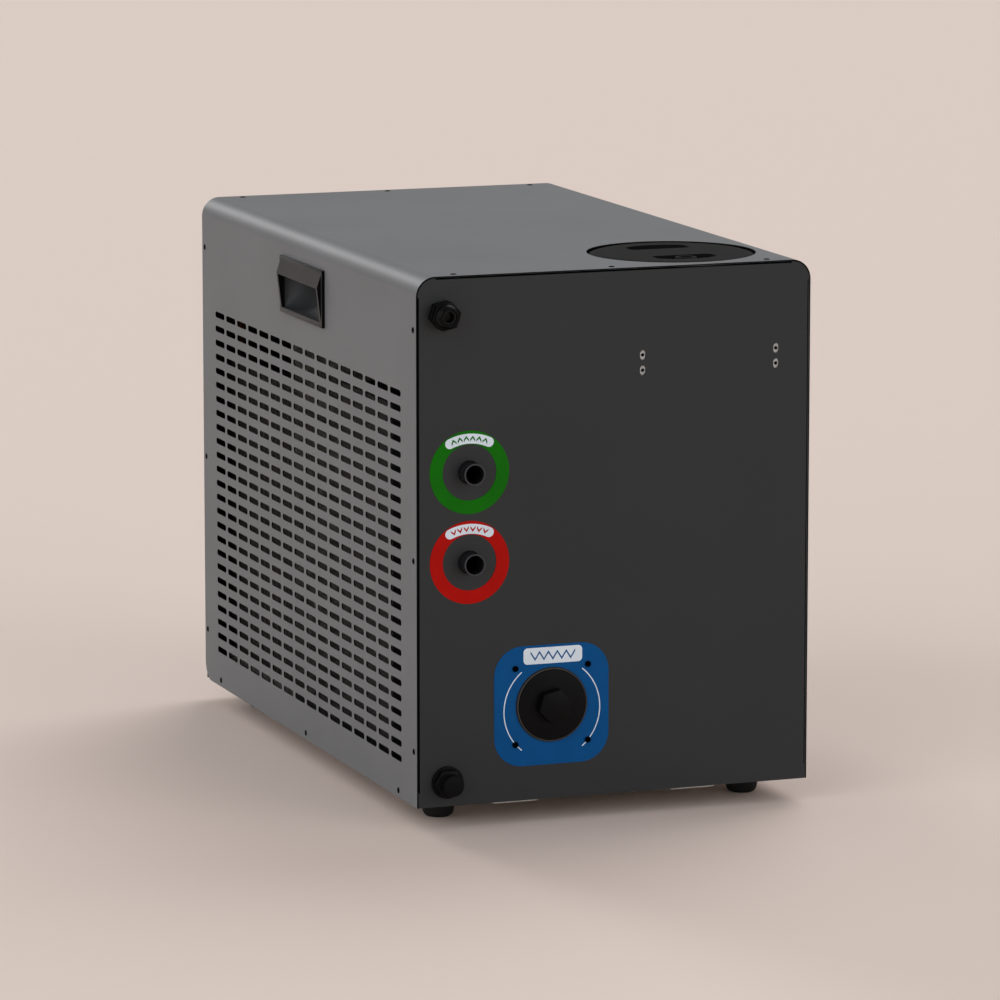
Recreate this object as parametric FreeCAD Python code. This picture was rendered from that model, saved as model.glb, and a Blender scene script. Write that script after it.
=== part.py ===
import FreeCAD, Part
import math
import os

# Ice bath chiller: a sheet-metal casing on four rubber feet, with the water connections on its
# front. Millimetres, +Z up, front panel facing -Y, inlet grille on -X. The origin is on the
# floor, under the centre of the whole outline.

V = FreeCAD.Vector

# Driving dimensions of the casing.
casing_width = 380.0
casing_depth = 638.0
casing_height = 482.0
foot_reach = 21.0
cover_sheet = 1.2
panel_sheet = 1.5
pan_flange = 24.0
cover_bend = 18.0
rear_corner = 18.5
panel_gap = 0.3
groove_width = 1.7
groove_low = 13.7
relief = 0.5
flange_depth = 14.5
play = 0.05
overrun = 1.0

# Cover screws.
screw_radius = 1.9
screw_head_width = 5.8
screw_head_height = 0.7
screw_length = 7.0
side_screw_inset = 8.3
side_screw_heights = (50.7, 225.0)
side_screw_drop = 48.0
low_screw_height = 6.5
low_screw_inset = 51.0
top_screw_inset = 10.4
top_screw_side = 39.0

# Inlet grille on the left side and the fan's outlet grille on the right side.
slot_length = 29.0
slot_height = 5.3
slot_bar = 6.0
slot_pitch_z = 13.95
slot_end_margin = 40.0
slot_drop = 110.2
slot_low_margin = 35.0
outlet_columns = 3
outlet_rows = 11
outlet_length = 64.0

# Round lid in the top and the tank below it.
lid_side_gap = 24.2
lid_front_gap = 14.2
lid_radius = 76.3
lid_hole_gap = 1.4
lid_thickness = 5.0
lid_gap = 3.0
lid_wall = 3.8
lid_thread_gap = 0.4
lid_overlap = 11.0
grip_half_length = 29.3
grip_inner = 23.5
grip_outer = 51.5
grip_depth = 11.0
grip_wall = 2.0
tank_wall = 4.0
tank_shoulder = 5.9
tank_base_half = 50.0
tank_base_height = 12.0
neck_wall = 6.0
seal_height = 2.4
seal_gap = 0.3
seal_inset = 1.0

# Carry handles in both sides.
handle_length = 127.0
handle_drop = 24.5
handle_height = 55.0
handle_flange = 3.8
handle_hood = 8.6
handle_rim = 6.6
hood_top_drop = 5.5
hood_lip_drop = 17.2
handle_wall = 2.0
handle_border = 4.5
pocket_depth = 24.0

# Cable gland at the top left of the front panel.
gland_inset = 24.5
gland_drop = 34.3
gland_flats = 24.0
gland_turn = 12.0
gland_body_height = 5.5
gland_nut_gap = 0.3
gland_nut_height = 9.0
gland_reach = 22.0
gland_thread = 10.0
gland_bore = 7.0
gland_nose_length = 6.0
gland_mouth = 6.6
gland_lip_wall = 0.2
gland_seal = 8.0
gland_insert_bore = 5.0
gland_tail = 9.0
gland_dome_swell = 0.7
locknut_flats = 27.0
locknut_height = 5.0

# Water outlet and inlet stubs with their ring labels.
outlet_z = 304.2
stub_radius = 10.0
stub_wall = 1.5
stub_reach = 15.5
stub_shoulder = 0.6
stub_flange_radius = 17.0
stub_flange_height = 4.0
stub_tail = 26.0
label_outer = 37.8
label_inner = 25.5
label_sheet = 0.4
label_side_gap = 12.5
label_gap = 6.3

# Filter behind the front panel.
filter_inset = 129.0
filter_z = 87.0
filter_label_width = 110.5
filter_label_corner = 27.0
filter_label_gap = 1.5
filter_screw_spread = 35.0
filter_screw_radius = 2.0
filter_screw_head = 2.8
filter_screw_height = 1.4
filter_screw_sides = 8
filter_cap_lap = 2.5
filter_cap_height = 2.5
filter_boss_flats = 28.0
filter_boss_height = 10.0
filter_boss_turn = 13.0
filter_plug_radius = 28.0
filter_plug_length = 18.0
filter_thread_gap = 0.4
filter_seal_width = 2.6
filter_wall = 4.5
filter_length = 185.0
filter_flange_width = 86.0
filter_flange_height = 5.0
cartridge_radius = 24.0
cartridge_cap = 6.0
spigot_radius = 8.0
spigot_length = 30.0
spigot_gap = 0.4
filter_port_inset = 73.0
port_radius = 10.0
port_height = 14.0

# Drain at the lower left of the front panel.
drain_inset = 28.7
drain_z = 22.3
drain_flange_radius = 14.8
drain_flange_height = 3.0
drain_hex_flats = 24.0
drain_hex_height = 5.0
drain_sleeve_radius = 10.0
drain_thread_gap = 0.4
drain_stem_radius = 6.0
drain_stem_length = 16.0
drain_knob_radius = 9.5
drain_reach = 20.0
drain_washer = 1.2
drain_tail = 24.0
drain_nut_height = 5.0

# Threaded strips behind the four oblong holes at the upper right of the front panel.
strip_side = 98.1
strip_drop = 87.2
strip_spread_x = 130.0
strip_spread_z = 14.0
strip_width = 16.0
strip_length = 34.0
strip_thickness = 3.0
tapped_radius = 1.65
oblong_width = 6.0
oblong_height = 9.0

# Feet and runners under the base.
foot_side_inset = 40.6
foot_end_inset = 58.0
foot_top_radius = 16.0
foot_low_radius = 13.5
foot_edge = 2.5
foot_stud_flats = 5.4
foot_stud_extra = 1.5
foot_nut_flats = 10.0
foot_nut_height = 4.0
rail_side_inset = 103.2
rail_width = 42.7
rail_drop = 6.6
rail_inset = 24.0

# Partition between the water side and the refrigeration side.
partition_gap = 27.0
partition_sheet = 1.2
partition_margin = 4.0
partition_foot = 14.0

# Condenser, shroud and fan behind the rear half of the inlet grille.
core_side_gap = 16.0
core_thickness = 36.0
core_height = 300.0
core_back_gap = 20.0
header_radius = 9.0
header_lap = 3.0
stand_sheet = 2.0
shroud_depth = 30.0
shroud_sheet = 1.2
collar_inset = 12.0
collar_margin = 1.8
fan_radius = 104.0
fan_tip_gap = 4.0
fan_hub_radius = 32.0
fan_hub_length = 26.0
fan_blades = 5
fan_blade_sheet = 2.0
fan_blade_pitch = 32.0
fan_blade_chord = 62.0
fan_blade_root = 4.0
shaft_radius = 4.0
shaft_play = 0.06
shaft_insert = 20.0
motor_radius = 38.0
motor_length = 52.0
motor_gap = 16.0
bracket_width = 40.0
bracket_foot = 28.0
bracket_sheet = 2.0

# Compressor on three rubber mounts.
compressor_x = 70.0
compressor_back = 114.0
compressor_radius = 62.0
compressor_height = 190.0
compressor_dome = 26.0
compressor_crown = 0.5
compressor_plate = 4.0
compressor_port = 6.0
compressor_port_reach = 6.0
discharge_height = 140.0
suction_height = 96.0
mount_count = 3
mount_reach = 12.0
mount_flats = 22.0
mount_height = 20.0
mount_bolt_flats = 5.6
mount_bolt_head = 14.0
mount_bolt_head_height = 4.0

# Pump in line behind the filter.
pump_radius = 34.0
pump_volute = 32.0
pump_motor_radius = 29.0
pump_motor_length = 66.0
pump_foot_width = 50.0

# Plate evaporator behind the tank.
feed_gap = 34.0
evaporator_width = 78.0
evaporator_depth = 64.0
evaporator_height = 250.0
evaporator_gap = 28.0
evaporator_port_side = 68.5
evaporator_port_drop = 46.0
evaporator_suction_drop = 22.0
evaporator_liquid_z = 14.0

# Filter drier, control box, hoses and refrigerant pipes.
drier_radius = 11.0
drier_length = 76.0
drier_start = 26.0
control_side_gap = 15.0
control_width = 60.0
control_front_gap = 6.0
control_depth = 143.0
control_height = 349.0
control_lid = 3.0
hose_flats = 25.0
hose_bend = 24.0
hose_gap = 2.0
pipe_flats = 8.0
pipe_bend = 12.0
pipe_leg = 1.0
suction_flats = 10.0
pipe_hole_gap = 1.0
pipe_rise = 34.0

# Flat sides that stand for a round: on small or hidden pieces, and on larger or outer ones.
few_sides = 12
more_sides = 24
label_sides = 32
foot_sides = 16
corner_steps = 6

# Places worked out from the sizes above.
front_reach = max(gland_reach, drain_reach, stub_reach)
front_y = (front_reach - casing_depth) / 2
rear_y = front_y + casing_depth
middle_y = (front_y + rear_y) / 2
low_z = foot_reach
top_z = low_z + casing_height
half_width = casing_width / 2
inner_half = half_width - cover_sheet
flange_half = inner_half - groove_width
flange_top = top_z - cover_sheet - groove_width
pan_floor = low_z + panel_sheet
floor_z = pan_floor + panel_sheet
core_width = 2 * (fan_radius + fan_tip_gap + shroud_sheet + collar_margin)
core_x = core_side_gap - half_width
handle_top = top_z - handle_drop
gland_x = gland_inset - half_width
gland_z = top_z - gland_drop
stub_x = label_side_gap + label_outer - half_width
inlet_z = outlet_z - 2 * label_outer - label_gap
filter_x = filter_inset - half_width
drain_x = drain_inset - half_width
strip_x = half_width - strip_side
strip_z = top_z - strip_drop
lid_x = half_width - lid_side_gap - lid_radius
lid_y = front_y + lid_front_gap + lid_radius
axis_x = V(1, 0, 0)
axis_y = V(0, 1, 0)
axis_z = V(0, 0, 1)


def block(x0, x1, y0, y1, z0, z1):
    return Part.makeBox(x1 - x0, y1 - y0, z1 - z0, V(x0, y0, z0))


def rod(radius, length, start, direction):
    return Part.makeCylinder(radius, length, start, direction)


def polygon_face(points):
    return Part.Face(Part.makePolygon(list(points) + [points[0]]))


def regular_ring(sides, radius, height=0.0):
    """Corners of a regular outline round the Z axis, which stand at the radius."""
    corners = []
    for i in range(sides):
        angle = 2 * math.pi * i / sides
        corners.append(V(radius * math.cos(angle), radius * math.sin(angle), height))
    return corners


def corner_radius(sides, radius):
    """Where the corners of a regular outline stand if its flats stand at the radius."""
    return radius / math.cos(math.pi / sides)


def prism(sides, across_flats, length, start, direction):
    """A straight prism with a regular outline, standing on start and pointing along direction."""
    corners = regular_ring(sides, corner_radius(sides, across_flats / 2))
    shape = polygon_face(corners).extrude(V(0, 0, length))
    shape.Placement = FreeCAD.Placement(start, FreeCAD.Rotation(axis_z, direction))
    return shape


def front_hexagon(across_flats, length, x, y, z, turn=0.0):
    """A hexagonal prism on the front panel, pointing out of it, turned as it is seen from the front."""
    radius = corner_radius(6, across_flats / 2)
    corners = []
    for i in range(6):
        angle = math.radians(turn + 60 * i)
        corners.append(V(x + radius * math.cos(angle), y, z + radius * math.sin(angle)))
    return polygon_face(corners).extrude(V(0, -length, 0))


def pole(sides, radius, length, start, direction):
    """A round piece drawn with flat sides, just inside its round."""
    return prism(sides, 2 * radius * math.cos(math.pi / sides), length, start, direction)


def socket(sides, radius, length, start, direction):
    """A round hole drawn with flat sides, just outside its round."""
    return prism(sides, 2 * radius, length, start, direction)


def solid_of(faces):
    """A solid from flat faces that close."""
    solid = Part.Solid(Part.Shell(faces))
    if solid.Volume < 0:
        solid.reverse()
    return solid.removeSplitter()


def skin_between(low, high):
    """Flat faces between two rings of corners. Corners that fall together make triangles."""
    faces = []
    for i in range(len(low)):
        j = (i + 1) % len(low)
        corners = []
        for corner in (low[i], low[j], high[j], high[i]):
            if not any(corner.isEqual(other, 1e-6) for other in corners):
                corners.append(corner)
        if len(corners) > 2:
            faces.append(polygon_face(corners))
    return faces


def faceted(sides, profile, start, direction):
    """An outline of (corner radius, height) points carried round its axis with flat sides."""
    rings = [regular_ring(sides, radius, height) for radius, height in profile]
    faces = []
    for low, high in zip(rings, rings[1:] + rings[:1]):
        faces += skin_between(low, high)
    shape = solid_of(faces)
    shape.Placement = FreeCAD.Placement(start, FreeCAD.Rotation(axis_z, direction))
    return shape


def fuse_all(shapes):
    return shapes[0].multiFuse(shapes[1:]).removeSplitter()


def route(points, flats, bend):
    """A pipe or hose with a six-sided outline. Each bend is drawn as three mitres."""
    path = [points[0]]
    for i in range(1, len(points) - 1):
        corner = points[i]
        back = (points[i - 1] - corner).normalize()
        ahead = (points[i + 1] - corner).normalize()
        half = back.getAngle(ahead) / 2
        reach = bend / math.tan(half)
        middle = corner + (back + ahead).normalize() * (bend / math.sin(half) - bend)
        path += [corner + back * reach, middle, corner + ahead * reach]
    path.append(points[-1])
    runs = [(b - a).normalize() for a, b in zip(path, path[1:])]
    turn = FreeCAD.Placement(path[0], FreeCAD.Rotation(axis_z, runs[0]))
    rings = [[turn.multVec(c) for c in regular_ring(6, corner_radius(6, flats / 2))]]
    for i, run in enumerate(runs):
        across = run + runs[i + 1] if i + 1 < len(runs) else run
        rings.append([c + run * ((path[i + 1] - c).dot(across) / run.dot(across)) for c in rings[-1]])
    faces = [polygon_face(rings[0]), polygon_face(rings[-1])]
    for low, high in zip(rings, rings[1:]):
        faces += skin_between(low, high)
    return solid_of(faces)


def side_screws():
    """Every screw of the cover: its seat on the outer skin and the direction that it points out."""
    seats = []
    for side in (-1, 1):
        for y in (front_y + side_screw_inset, rear_y - side_screw_inset):
            for height in side_screw_heights + (casing_height - side_screw_drop,):
                seats.append((V(side * half_width, y, low_z + height), V(side, 0, 0)))
        for y in (low_screw_inset - casing_depth / 2, 0, casing_depth / 2 - low_screw_inset):
            seats.append((V(side * half_width, middle_y + y, low_z + low_screw_height), V(side, 0, 0)))
    return seats


def top_screws():
    seats = []
    for y in (front_y + top_screw_inset, rear_y - top_screw_inset):
        for x in (top_screw_side - half_width, 0, half_width - top_screw_side):
            seats.append((V(x, y, top_z), axis_z))
    return seats


def screw_holes():
    """One cutter for each cover screw, through the cover and the flange behind it."""
    holes = []
    for seat, out in side_screws() + top_screws():
        start = seat - out * (screw_length + play)
        holes.append(prism(6, 2 * (screw_radius + play), screw_length + play + overrun, start, out))
    return holes


def slot_wires(x, rows, columns, centre_y, top, length):
    """Square-ended slots in a plane across X, as wires."""
    wires = []
    pitch = length + slot_bar
    for row in range(rows):
        z = top - row * slot_pitch_z
        for column in range(columns):
            y = centre_y + (column - (columns - 1) / 2) * pitch
            y0, y1 = y - length / 2, y + length / 2
            z0, z1 = z - slot_height / 2, z + slot_height / 2
            points = [V(x, y0, z0), V(x, y1, z0), V(x, y1, z1), V(x, y0, z1)]
            wires.append(Part.makePolygon(points + [points[0]]))
    return wires


def fan_y():
    return rear_y - core_back_gap - core_width / 2


def fan_z():
    return core_box()[4] + core_height / 2


def cover_side(side):
    """One side wall, from the bend down to the lower edge, with its slots and handle opening."""
    x = side * half_width
    high = top_z - cover_bend
    lower_corner = V(x, rear_y, low_z)
    start = V(x, rear_y - rear_corner, low_z)
    end = V(x, rear_y, low_z + rear_corner)
    lean = rear_corner * (1 - math.sqrt(0.5))
    middle = lower_corner + V(0, -lean, lean)
    outline = Part.Wire([
        Part.LineSegment(V(x, front_y, high), V(x, front_y, low_z)).toShape(),
        Part.LineSegment(V(x, front_y, low_z), start).toShape(),
        Part.Arc(start, middle, end).toShape(),
        Part.LineSegment(end, V(x, rear_y, high)).toShape(),
        Part.LineSegment(V(x, rear_y, high), V(x, front_y, high)).toShape(),
    ])
    if side < 0:
        rows = 1 + int((casing_height - slot_drop - slot_low_margin) / slot_pitch_z)
        room = casing_depth - 2 * slot_end_margin - slot_length
        columns = 1 + int(room / (slot_length + slot_bar))
        slots = slot_wires(x, rows, columns, middle_y, top_z - slot_drop, slot_length)
    else:
        top = fan_z() + (outlet_rows - 1) / 2 * slot_pitch_z
        slots = slot_wires(x, outlet_rows, outlet_columns, fan_y(), top, outlet_length)
    face = Part.makeFace([outline] + slots, "Part::FaceMakerBullseye")
    wall = face.extrude(V(-side * cover_sheet, 0, 0))
    body = handle_block(side, panel_gap)
    return wall.cut(body)


def wrap_cover():
    """Left side, top and right side, folded from one sheet."""
    flat = half_width - cover_bend
    top = block(-flat, flat, front_y, rear_y, top_z - cover_sheet, top_z)
    hole_start = V(lid_x, lid_y, top_z - 2 * cover_sheet)
    top = top.cut(rod(lid_radius + lid_hole_gap, 3 * cover_sheet, hole_start, axis_z))
    pieces = [top]
    for side in (-1, 1):
        centre = V(side * flat, front_y, top_z - cover_bend)
        corner = rod(cover_bend, casing_depth, centre, axis_y)
        corner = corner.cut(rod(cover_bend - cover_sheet, casing_depth, centre, axis_y))
        x0, x1 = sorted((side * flat, side * half_width))
        quarter = block(x0, x1, front_y, rear_y, top_z - cover_bend, top_z)
        pieces.append(corner.common(quarter))
        pieces.append(cover_side(side))
    return fuse_all(pieces).cut(screw_holes())


def end_panel(face_y, inward):
    """A front or rear panel: a plate with rounded upper corners and four flanges bent inwards."""
    w = inner_half - panel_gap
    top = top_z - cover_sheet - panel_gap
    corner = cover_bend - cover_sheet - panel_gap
    side_low = low_z + groove_low
    side_high = top - corner - relief
    top_half = w - corner - relief
    lean = corner * (1 - math.sqrt(0.5))
    right = [(w, low_z), (w, side_low), (flange_half, side_low), (flange_half, side_high)]
    right += [(w, side_high), (w, top - corner)]
    high = [(w - corner, top), (top_half, top), (top_half, flange_top)]
    edges = []

    def run(points):
        for a, b in zip(points, points[1:]):
            edges.append(Part.LineSegment(V(a[0], face_y, a[1]), V(b[0], face_y, b[1])).toShape())

    run(right)
    edges.append(Part.Arc(V(w, face_y, top - corner), V(w - lean, face_y, top - lean),
                          V(w - corner, face_y, top)).toShape())
    run(high + [(-x, z) for x, z in reversed(high)])
    edges.append(Part.Arc(V(corner - w, face_y, top), V(lean - w, face_y, top - lean),
                          V(-w, face_y, top - corner)).toShape())
    run([(-x, z) for x, z in reversed(right)] + [right[0]])
    plate = Part.Face(Part.Wire(edges)).extrude(V(0, inward * panel_sheet, 0))
    y0, y1 = sorted((face_y, face_y + inward * flange_depth))
    pieces = [plate]
    for side in (-1, 1):
        x0, x1 = sorted((side * flange_half, side * (flange_half - panel_sheet)))
        pieces.append(block(x0, x1, y0, y1, side_low + relief, side_high - relief))
    bottom_half = flange_half - relief
    pieces.append(block(relief - top_half, top_half - relief, y0, y1, flange_top - panel_sheet, flange_top))
    pieces.append(block(-bottom_half, bottom_half, y0, y1, low_z, low_z + panel_sheet))
    shape = fuse_all(pieces)
    relief_start = V(lid_x, lid_y, top_z - groove_low)
    lid_relief = socket(more_sides, lid_radius + lid_hole_gap, 2 * groove_low, relief_start, axis_z)
    return shape.cut(screw_holes() + [lid_relief])


def oblong(x, z, width, height, y, depth):
    """An upright oblong with round ends."""
    radius = width / 2
    straight = height / 2 - radius
    points = []
    for side in (1, -1):
        for i in range(corner_steps + 1):
            angle = math.pi * i / corner_steps
            rise = straight + radius * math.sin(angle)
            points.append(V(x + side * radius * math.cos(angle), y, z + side * rise))
    return polygon_face(points).extrude(V(0, depth, 0))


def front_panel():
    """Front panel with the openings for its fittings."""
    y = front_y - overrun
    depth = panel_sheet + 2 * overrun
    shoulder = stub_radius + stub_shoulder + play
    mouth = filter_mouth_radius() + panel_gap
    cuts = [
        socket(few_sides, gland_thread + play, depth, V(gland_x, y, gland_z), axis_y),
        socket(more_sides, shoulder, depth, V(stub_x, y, low_z + outlet_z), axis_y),
        socket(more_sides, shoulder, depth, V(stub_x, y, low_z + inlet_z), axis_y),
        socket(more_sides, mouth, depth, V(filter_x, y, low_z + filter_z), axis_y),
        socket(few_sides, drain_sleeve_radius + play, depth, V(drain_x, y, low_z + drain_z), axis_y),
    ]
    for x, z in strip_holes():
        cuts.append(oblong(x, z, oblong_width, oblong_height, y, depth))
    for x, z in filter_screw_places():
        cuts.append(prism(6, 2 * (filter_screw_radius + play), depth, V(x, y, z), axis_y))
    return end_panel(front_y, 1).cut(cuts)


def rear_panel():
    """Plain rear panel."""
    return end_panel(rear_y, -1)


def base_pan():
    """Folded floor of the casing, with side flanges that take the lowest cover screws."""
    y0 = front_y + panel_sheet + panel_gap
    y1 = rear_y - panel_sheet - panel_gap
    pieces = [block(-flange_half, flange_half, y0, y1, pan_floor, floor_z)]
    y0, y1 = front_y + flange_depth + relief, rear_y - flange_depth - relief
    for side in (-1, 1):
        x0, x1 = sorted((side * flange_half, side * (flange_half - panel_sheet)))
        pieces.append(block(x0, x1, y0, y1, pan_floor, pan_floor + pan_flange))
    holes = screw_holes()
    for x, y in foot_places():
        holes.append(prism(6, foot_stud_flats + 2 * play, 4 * panel_sheet, V(x, y, low_z), axis_z))
    for x, y in mount_places():
        holes.append(prism(6, mount_bolt_flats + 2 * play, 4 * panel_sheet, V(x, y, low_z), axis_z))
    return fuse_all(pieces).cut(holes)


def base_rails():
    """Two galvanised channels under the base, running from front to back."""
    made = []
    y0 = front_y + rail_inset
    y1 = rear_y - rail_inset
    for side in (-1, 1):
        x = side * (half_width - rail_side_inset)
        outer = block(x - rail_width / 2, x + rail_width / 2, y0, y1, low_z - rail_drop, pan_floor)
        half = rail_width / 2 - panel_sheet
        inner = block(x - half, x + half, y0, y1, low_z - rail_drop + panel_sheet, pan_floor)
        made.append(outer.cut(inner))
    return made


def foot_places():
    places = []
    x_inset = half_width - foot_side_inset
    for y in (front_y + foot_end_inset, rear_y - foot_end_inset):
        for x in (-x_inset, x_inset):
            places.append((x, y))
    return places


def foot(x, y):
    """A tapered rubber foot."""
    return faceted(foot_sides, [
        (0, 0),
        (foot_low_radius - foot_edge, 0),
        (foot_low_radius, foot_edge),
        (foot_top_radius, pan_floor),
        (0, pan_floor),
    ], V(x, y, 0), axis_z)


def foot_studs():
    """Threaded studs on the feet, through the base."""
    made = []
    length = panel_sheet + foot_nut_height + foot_stud_extra
    for x, y in foot_places():
        made.append(prism(6, foot_stud_flats, length, V(x, y, pan_floor), axis_z))
    return made


def foot_nuts():
    made = []
    for x, y in foot_places():
        nut = prism(6, foot_nut_flats, foot_nut_height, V(x, y, floor_z), axis_z)
        bore = prism(6, foot_stud_flats + 2 * play, 3 * foot_nut_height, V(x, y, pan_floor), axis_z)
        made.append(nut.cut(bore))
    return made


def handle_block(side, gap=0.0):
    """The part of a handle that stands in the cover's opening."""
    half = handle_length / 2 - handle_border + gap
    z0 = handle_top - handle_height + handle_border - gap
    z1 = handle_top - handle_border + gap
    x0, x1 = sorted((side * (half_width - pocket_depth), side * half_width))
    if gap:
        x0, x1 = x0 - overrun, x1 + overrun
    return block(x0, x1, middle_y - half, middle_y + half, z0, z1)


def handle(side):
    """A moulded pull cup: a flange, a hood that stands out over the mouth, and a pocket behind."""
    top = handle_top
    low = top - handle_height
    lip_z = top - hood_lip_drop
    skin = half_width
    half = handle_length / 2
    hood_half = half - handle_border + handle_wall
    x0, x1 = sorted((side * skin, side * (skin + handle_flange)))
    flange = block(x0, x1, middle_y - half, middle_y + half, low, top)

    def across(points, reach):
        face = polygon_face([V(side * (skin + d), middle_y - reach, z) for d, z in points])
        return face.extrude(V(0, 2 * reach, 0))

    hood = across([
        (0, top - hood_top_drop),
        (handle_flange, top - hood_top_drop),
        (handle_hood, lip_z),
        (handle_flange, low + handle_rim),
        (0, low + handle_rim),
    ], hood_half)
    inner = half - handle_border - handle_wall
    high = top - handle_border - handle_wall
    floor = low + handle_rim + handle_wall
    back = handle_wall - pocket_depth
    pocket = across([
        (handle_hood + overrun, lip_z - handle_wall / 2),
        (handle_hood - handle_wall, lip_z - handle_wall / 2),
        (handle_flange - handle_wall, high - handle_wall),
        (0, high),
        (back, high),
        (back, floor + 2 * handle_wall),
        (0, floor),
        (handle_hood + overrun, low + handle_rim),
    ], inner)
    return fuse_all([flange, hood, handle_block(side)]).cut(pocket)


def cover_screws():
    """Low-headed screws of the cover."""
    made = []
    for seat, out in side_screws() + top_screws():
        head = prism(6, screw_head_width, screw_head_height, seat, out)
        shank = prism(6, 2 * screw_radius, screw_length, seat - out * screw_length, out)
        made.append(fuse_all([head, shank]))
    return made


def gland_parts():
    """Cable gland: body, dome nut, seal insert and locknut, on one axis."""
    z = gland_z
    face = V(gland_x, front_y, z)
    out = V(0, -1, 0)
    nose_radius = gland_thread - 2 * panel_gap
    base = front_hexagon(gland_flats, gland_body_height, gland_x, front_y, z, gland_turn)
    thread = pole(few_sides, gland_thread, gland_tail + panel_sheet, face, axis_y)
    nose = pole(few_sides, nose_radius, gland_nose_length, face + out * gland_body_height, out)
    inner_end = face + axis_y * (gland_tail + 2 * panel_sheet)
    body = fuse_all([base, thread, nose])
    body = body.cut(socket(few_sides, gland_bore, gland_reach + gland_tail, inner_end, out))
    start = gland_body_height + gland_nut_gap
    hexagon = front_hexagon(gland_flats, gland_nut_height, gland_x, front_y - start, z, gland_turn)
    dome_low = gland_flats / 2 - 2 * gland_nut_gap
    dome_high = gland_seal + gland_lip_wall
    dome_height = gland_reach - start - gland_nut_height
    dome = faceted(few_sides, [
        (0, 0),
        (dome_low, 0),
        ((2 * dome_low + dome_high) / 3, gland_dome_swell * dome_height),
        (dome_high, dome_height),
        (0, dome_height),
    ], face + out * (start + gland_nut_height), out)
    insert_start = gland_body_height + gland_nose_length + gland_nut_gap
    insert_end = gland_reach - 2 * gland_nut_gap
    nut = fuse_all([hexagon, dome]).cut([
        socket(few_sides, nose_radius + play, insert_start - start, face + out * start, out),
        socket(few_sides, gland_seal + play, insert_end - start, face + out * start, out),
        socket(few_sides, gland_mouth, gland_reach, face, out),
    ])
    insert = pole(few_sides, gland_seal, insert_end - insert_start, face + out * insert_start, out)
    insert = insert.cut(rod(gland_insert_bore, gland_reach, face + out * overrun, out))
    back = face + axis_y * panel_sheet
    locknut = prism(6, locknut_flats, locknut_height, back, axis_y)
    locknut = locknut.cut(socket(few_sides, gland_thread + play, 3 * locknut_height, face, axis_y))
    return body, nut, insert, locknut


def stub(z):
    """A pipe stub through the front panel, with a flange behind the panel and a tail for a hose."""
    face = V(stub_x, front_y, low_z + z)
    back = face + axis_y * panel_sheet
    length = panel_sheet + stub_flange_height + stub_tail
    pieces = [
        rod(stub_radius, stub_reach, face - axis_y * stub_reach, axis_y),
        pole(more_sides, stub_radius + stub_shoulder, panel_sheet, face, axis_y),
        pole(few_sides, stub_flange_radius, stub_flange_height, back, axis_y),
        pole(few_sides, stub_radius, length, face, axis_y),
    ]
    whole = stub_reach + length + 2 * overrun
    bore = stub_radius - stub_wall
    return fuse_all(pieces).cut(rod(bore, whole, face - axis_y * (stub_reach + overrun), axis_y))


def ring_label(z):
    """A thin coloured ring round a stub."""
    start = V(stub_x, front_y - label_sheet, low_z + z)
    outer = pole(label_sides, label_outer, label_sheet, start, axis_y)
    return outer.cut(socket(label_sides, label_inner, 2 * overrun, start - axis_y * overrun, axis_y))


def filter_mouth_radius():
    """Radius of the counterbore that holds the cap's sealing ring."""
    return filter_plug_radius + filter_seal_width + 2 * seal_gap


def filter_cap_radius():
    return filter_mouth_radius() + filter_cap_lap


def filter_screw_places():
    places = []
    for dx in (-filter_screw_spread, filter_screw_spread):
        for dz in (-filter_screw_spread, filter_screw_spread):
            places.append((filter_x + dx, low_z + filter_z + dz))
    return places


def filter_label():
    """A square label with large round corners and a round hole for the cap."""
    z = low_z + filter_z
    inset = filter_label_width / 2 - filter_label_corner
    points = []
    for i, (sx, sz) in enumerate(((1, 1), (-1, 1), (-1, -1), (1, -1))):
        for k in range(corner_steps + 1):
            angle = math.pi / 2 * (i + k / corner_steps)
            points.append(V(filter_x + sx * inset + filter_label_corner * math.cos(angle), front_y,
                            z + sz * inset + filter_label_corner * math.sin(angle)))
    plate = polygon_face(points).extrude(V(0, -label_sheet, 0))
    start = front_y - overrun
    hole = filter_cap_radius() + filter_label_gap
    cuts = [socket(label_sides, hole, 2 * overrun, V(filter_x, start, z), axis_y)]
    for x, hole_z in filter_screw_places():
        cuts.append(prism(6, 2 * (filter_screw_radius + play), 2 * overrun, V(x, start, hole_z), axis_y))
    return plate.cut(cuts)


def filter_screws():
    made = []
    length = label_sheet + panel_sheet + filter_flange_height - panel_gap
    for x, z in filter_screw_places():
        face = V(x, front_y - label_sheet, z)
        head = prism(filter_screw_sides, 2 * filter_screw_head, filter_screw_height, face, V(0, -1, 0))
        shank = prism(6, 2 * filter_screw_radius, length, face, axis_y)
        made.append(fuse_all([head, shank]))
    return made


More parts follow.
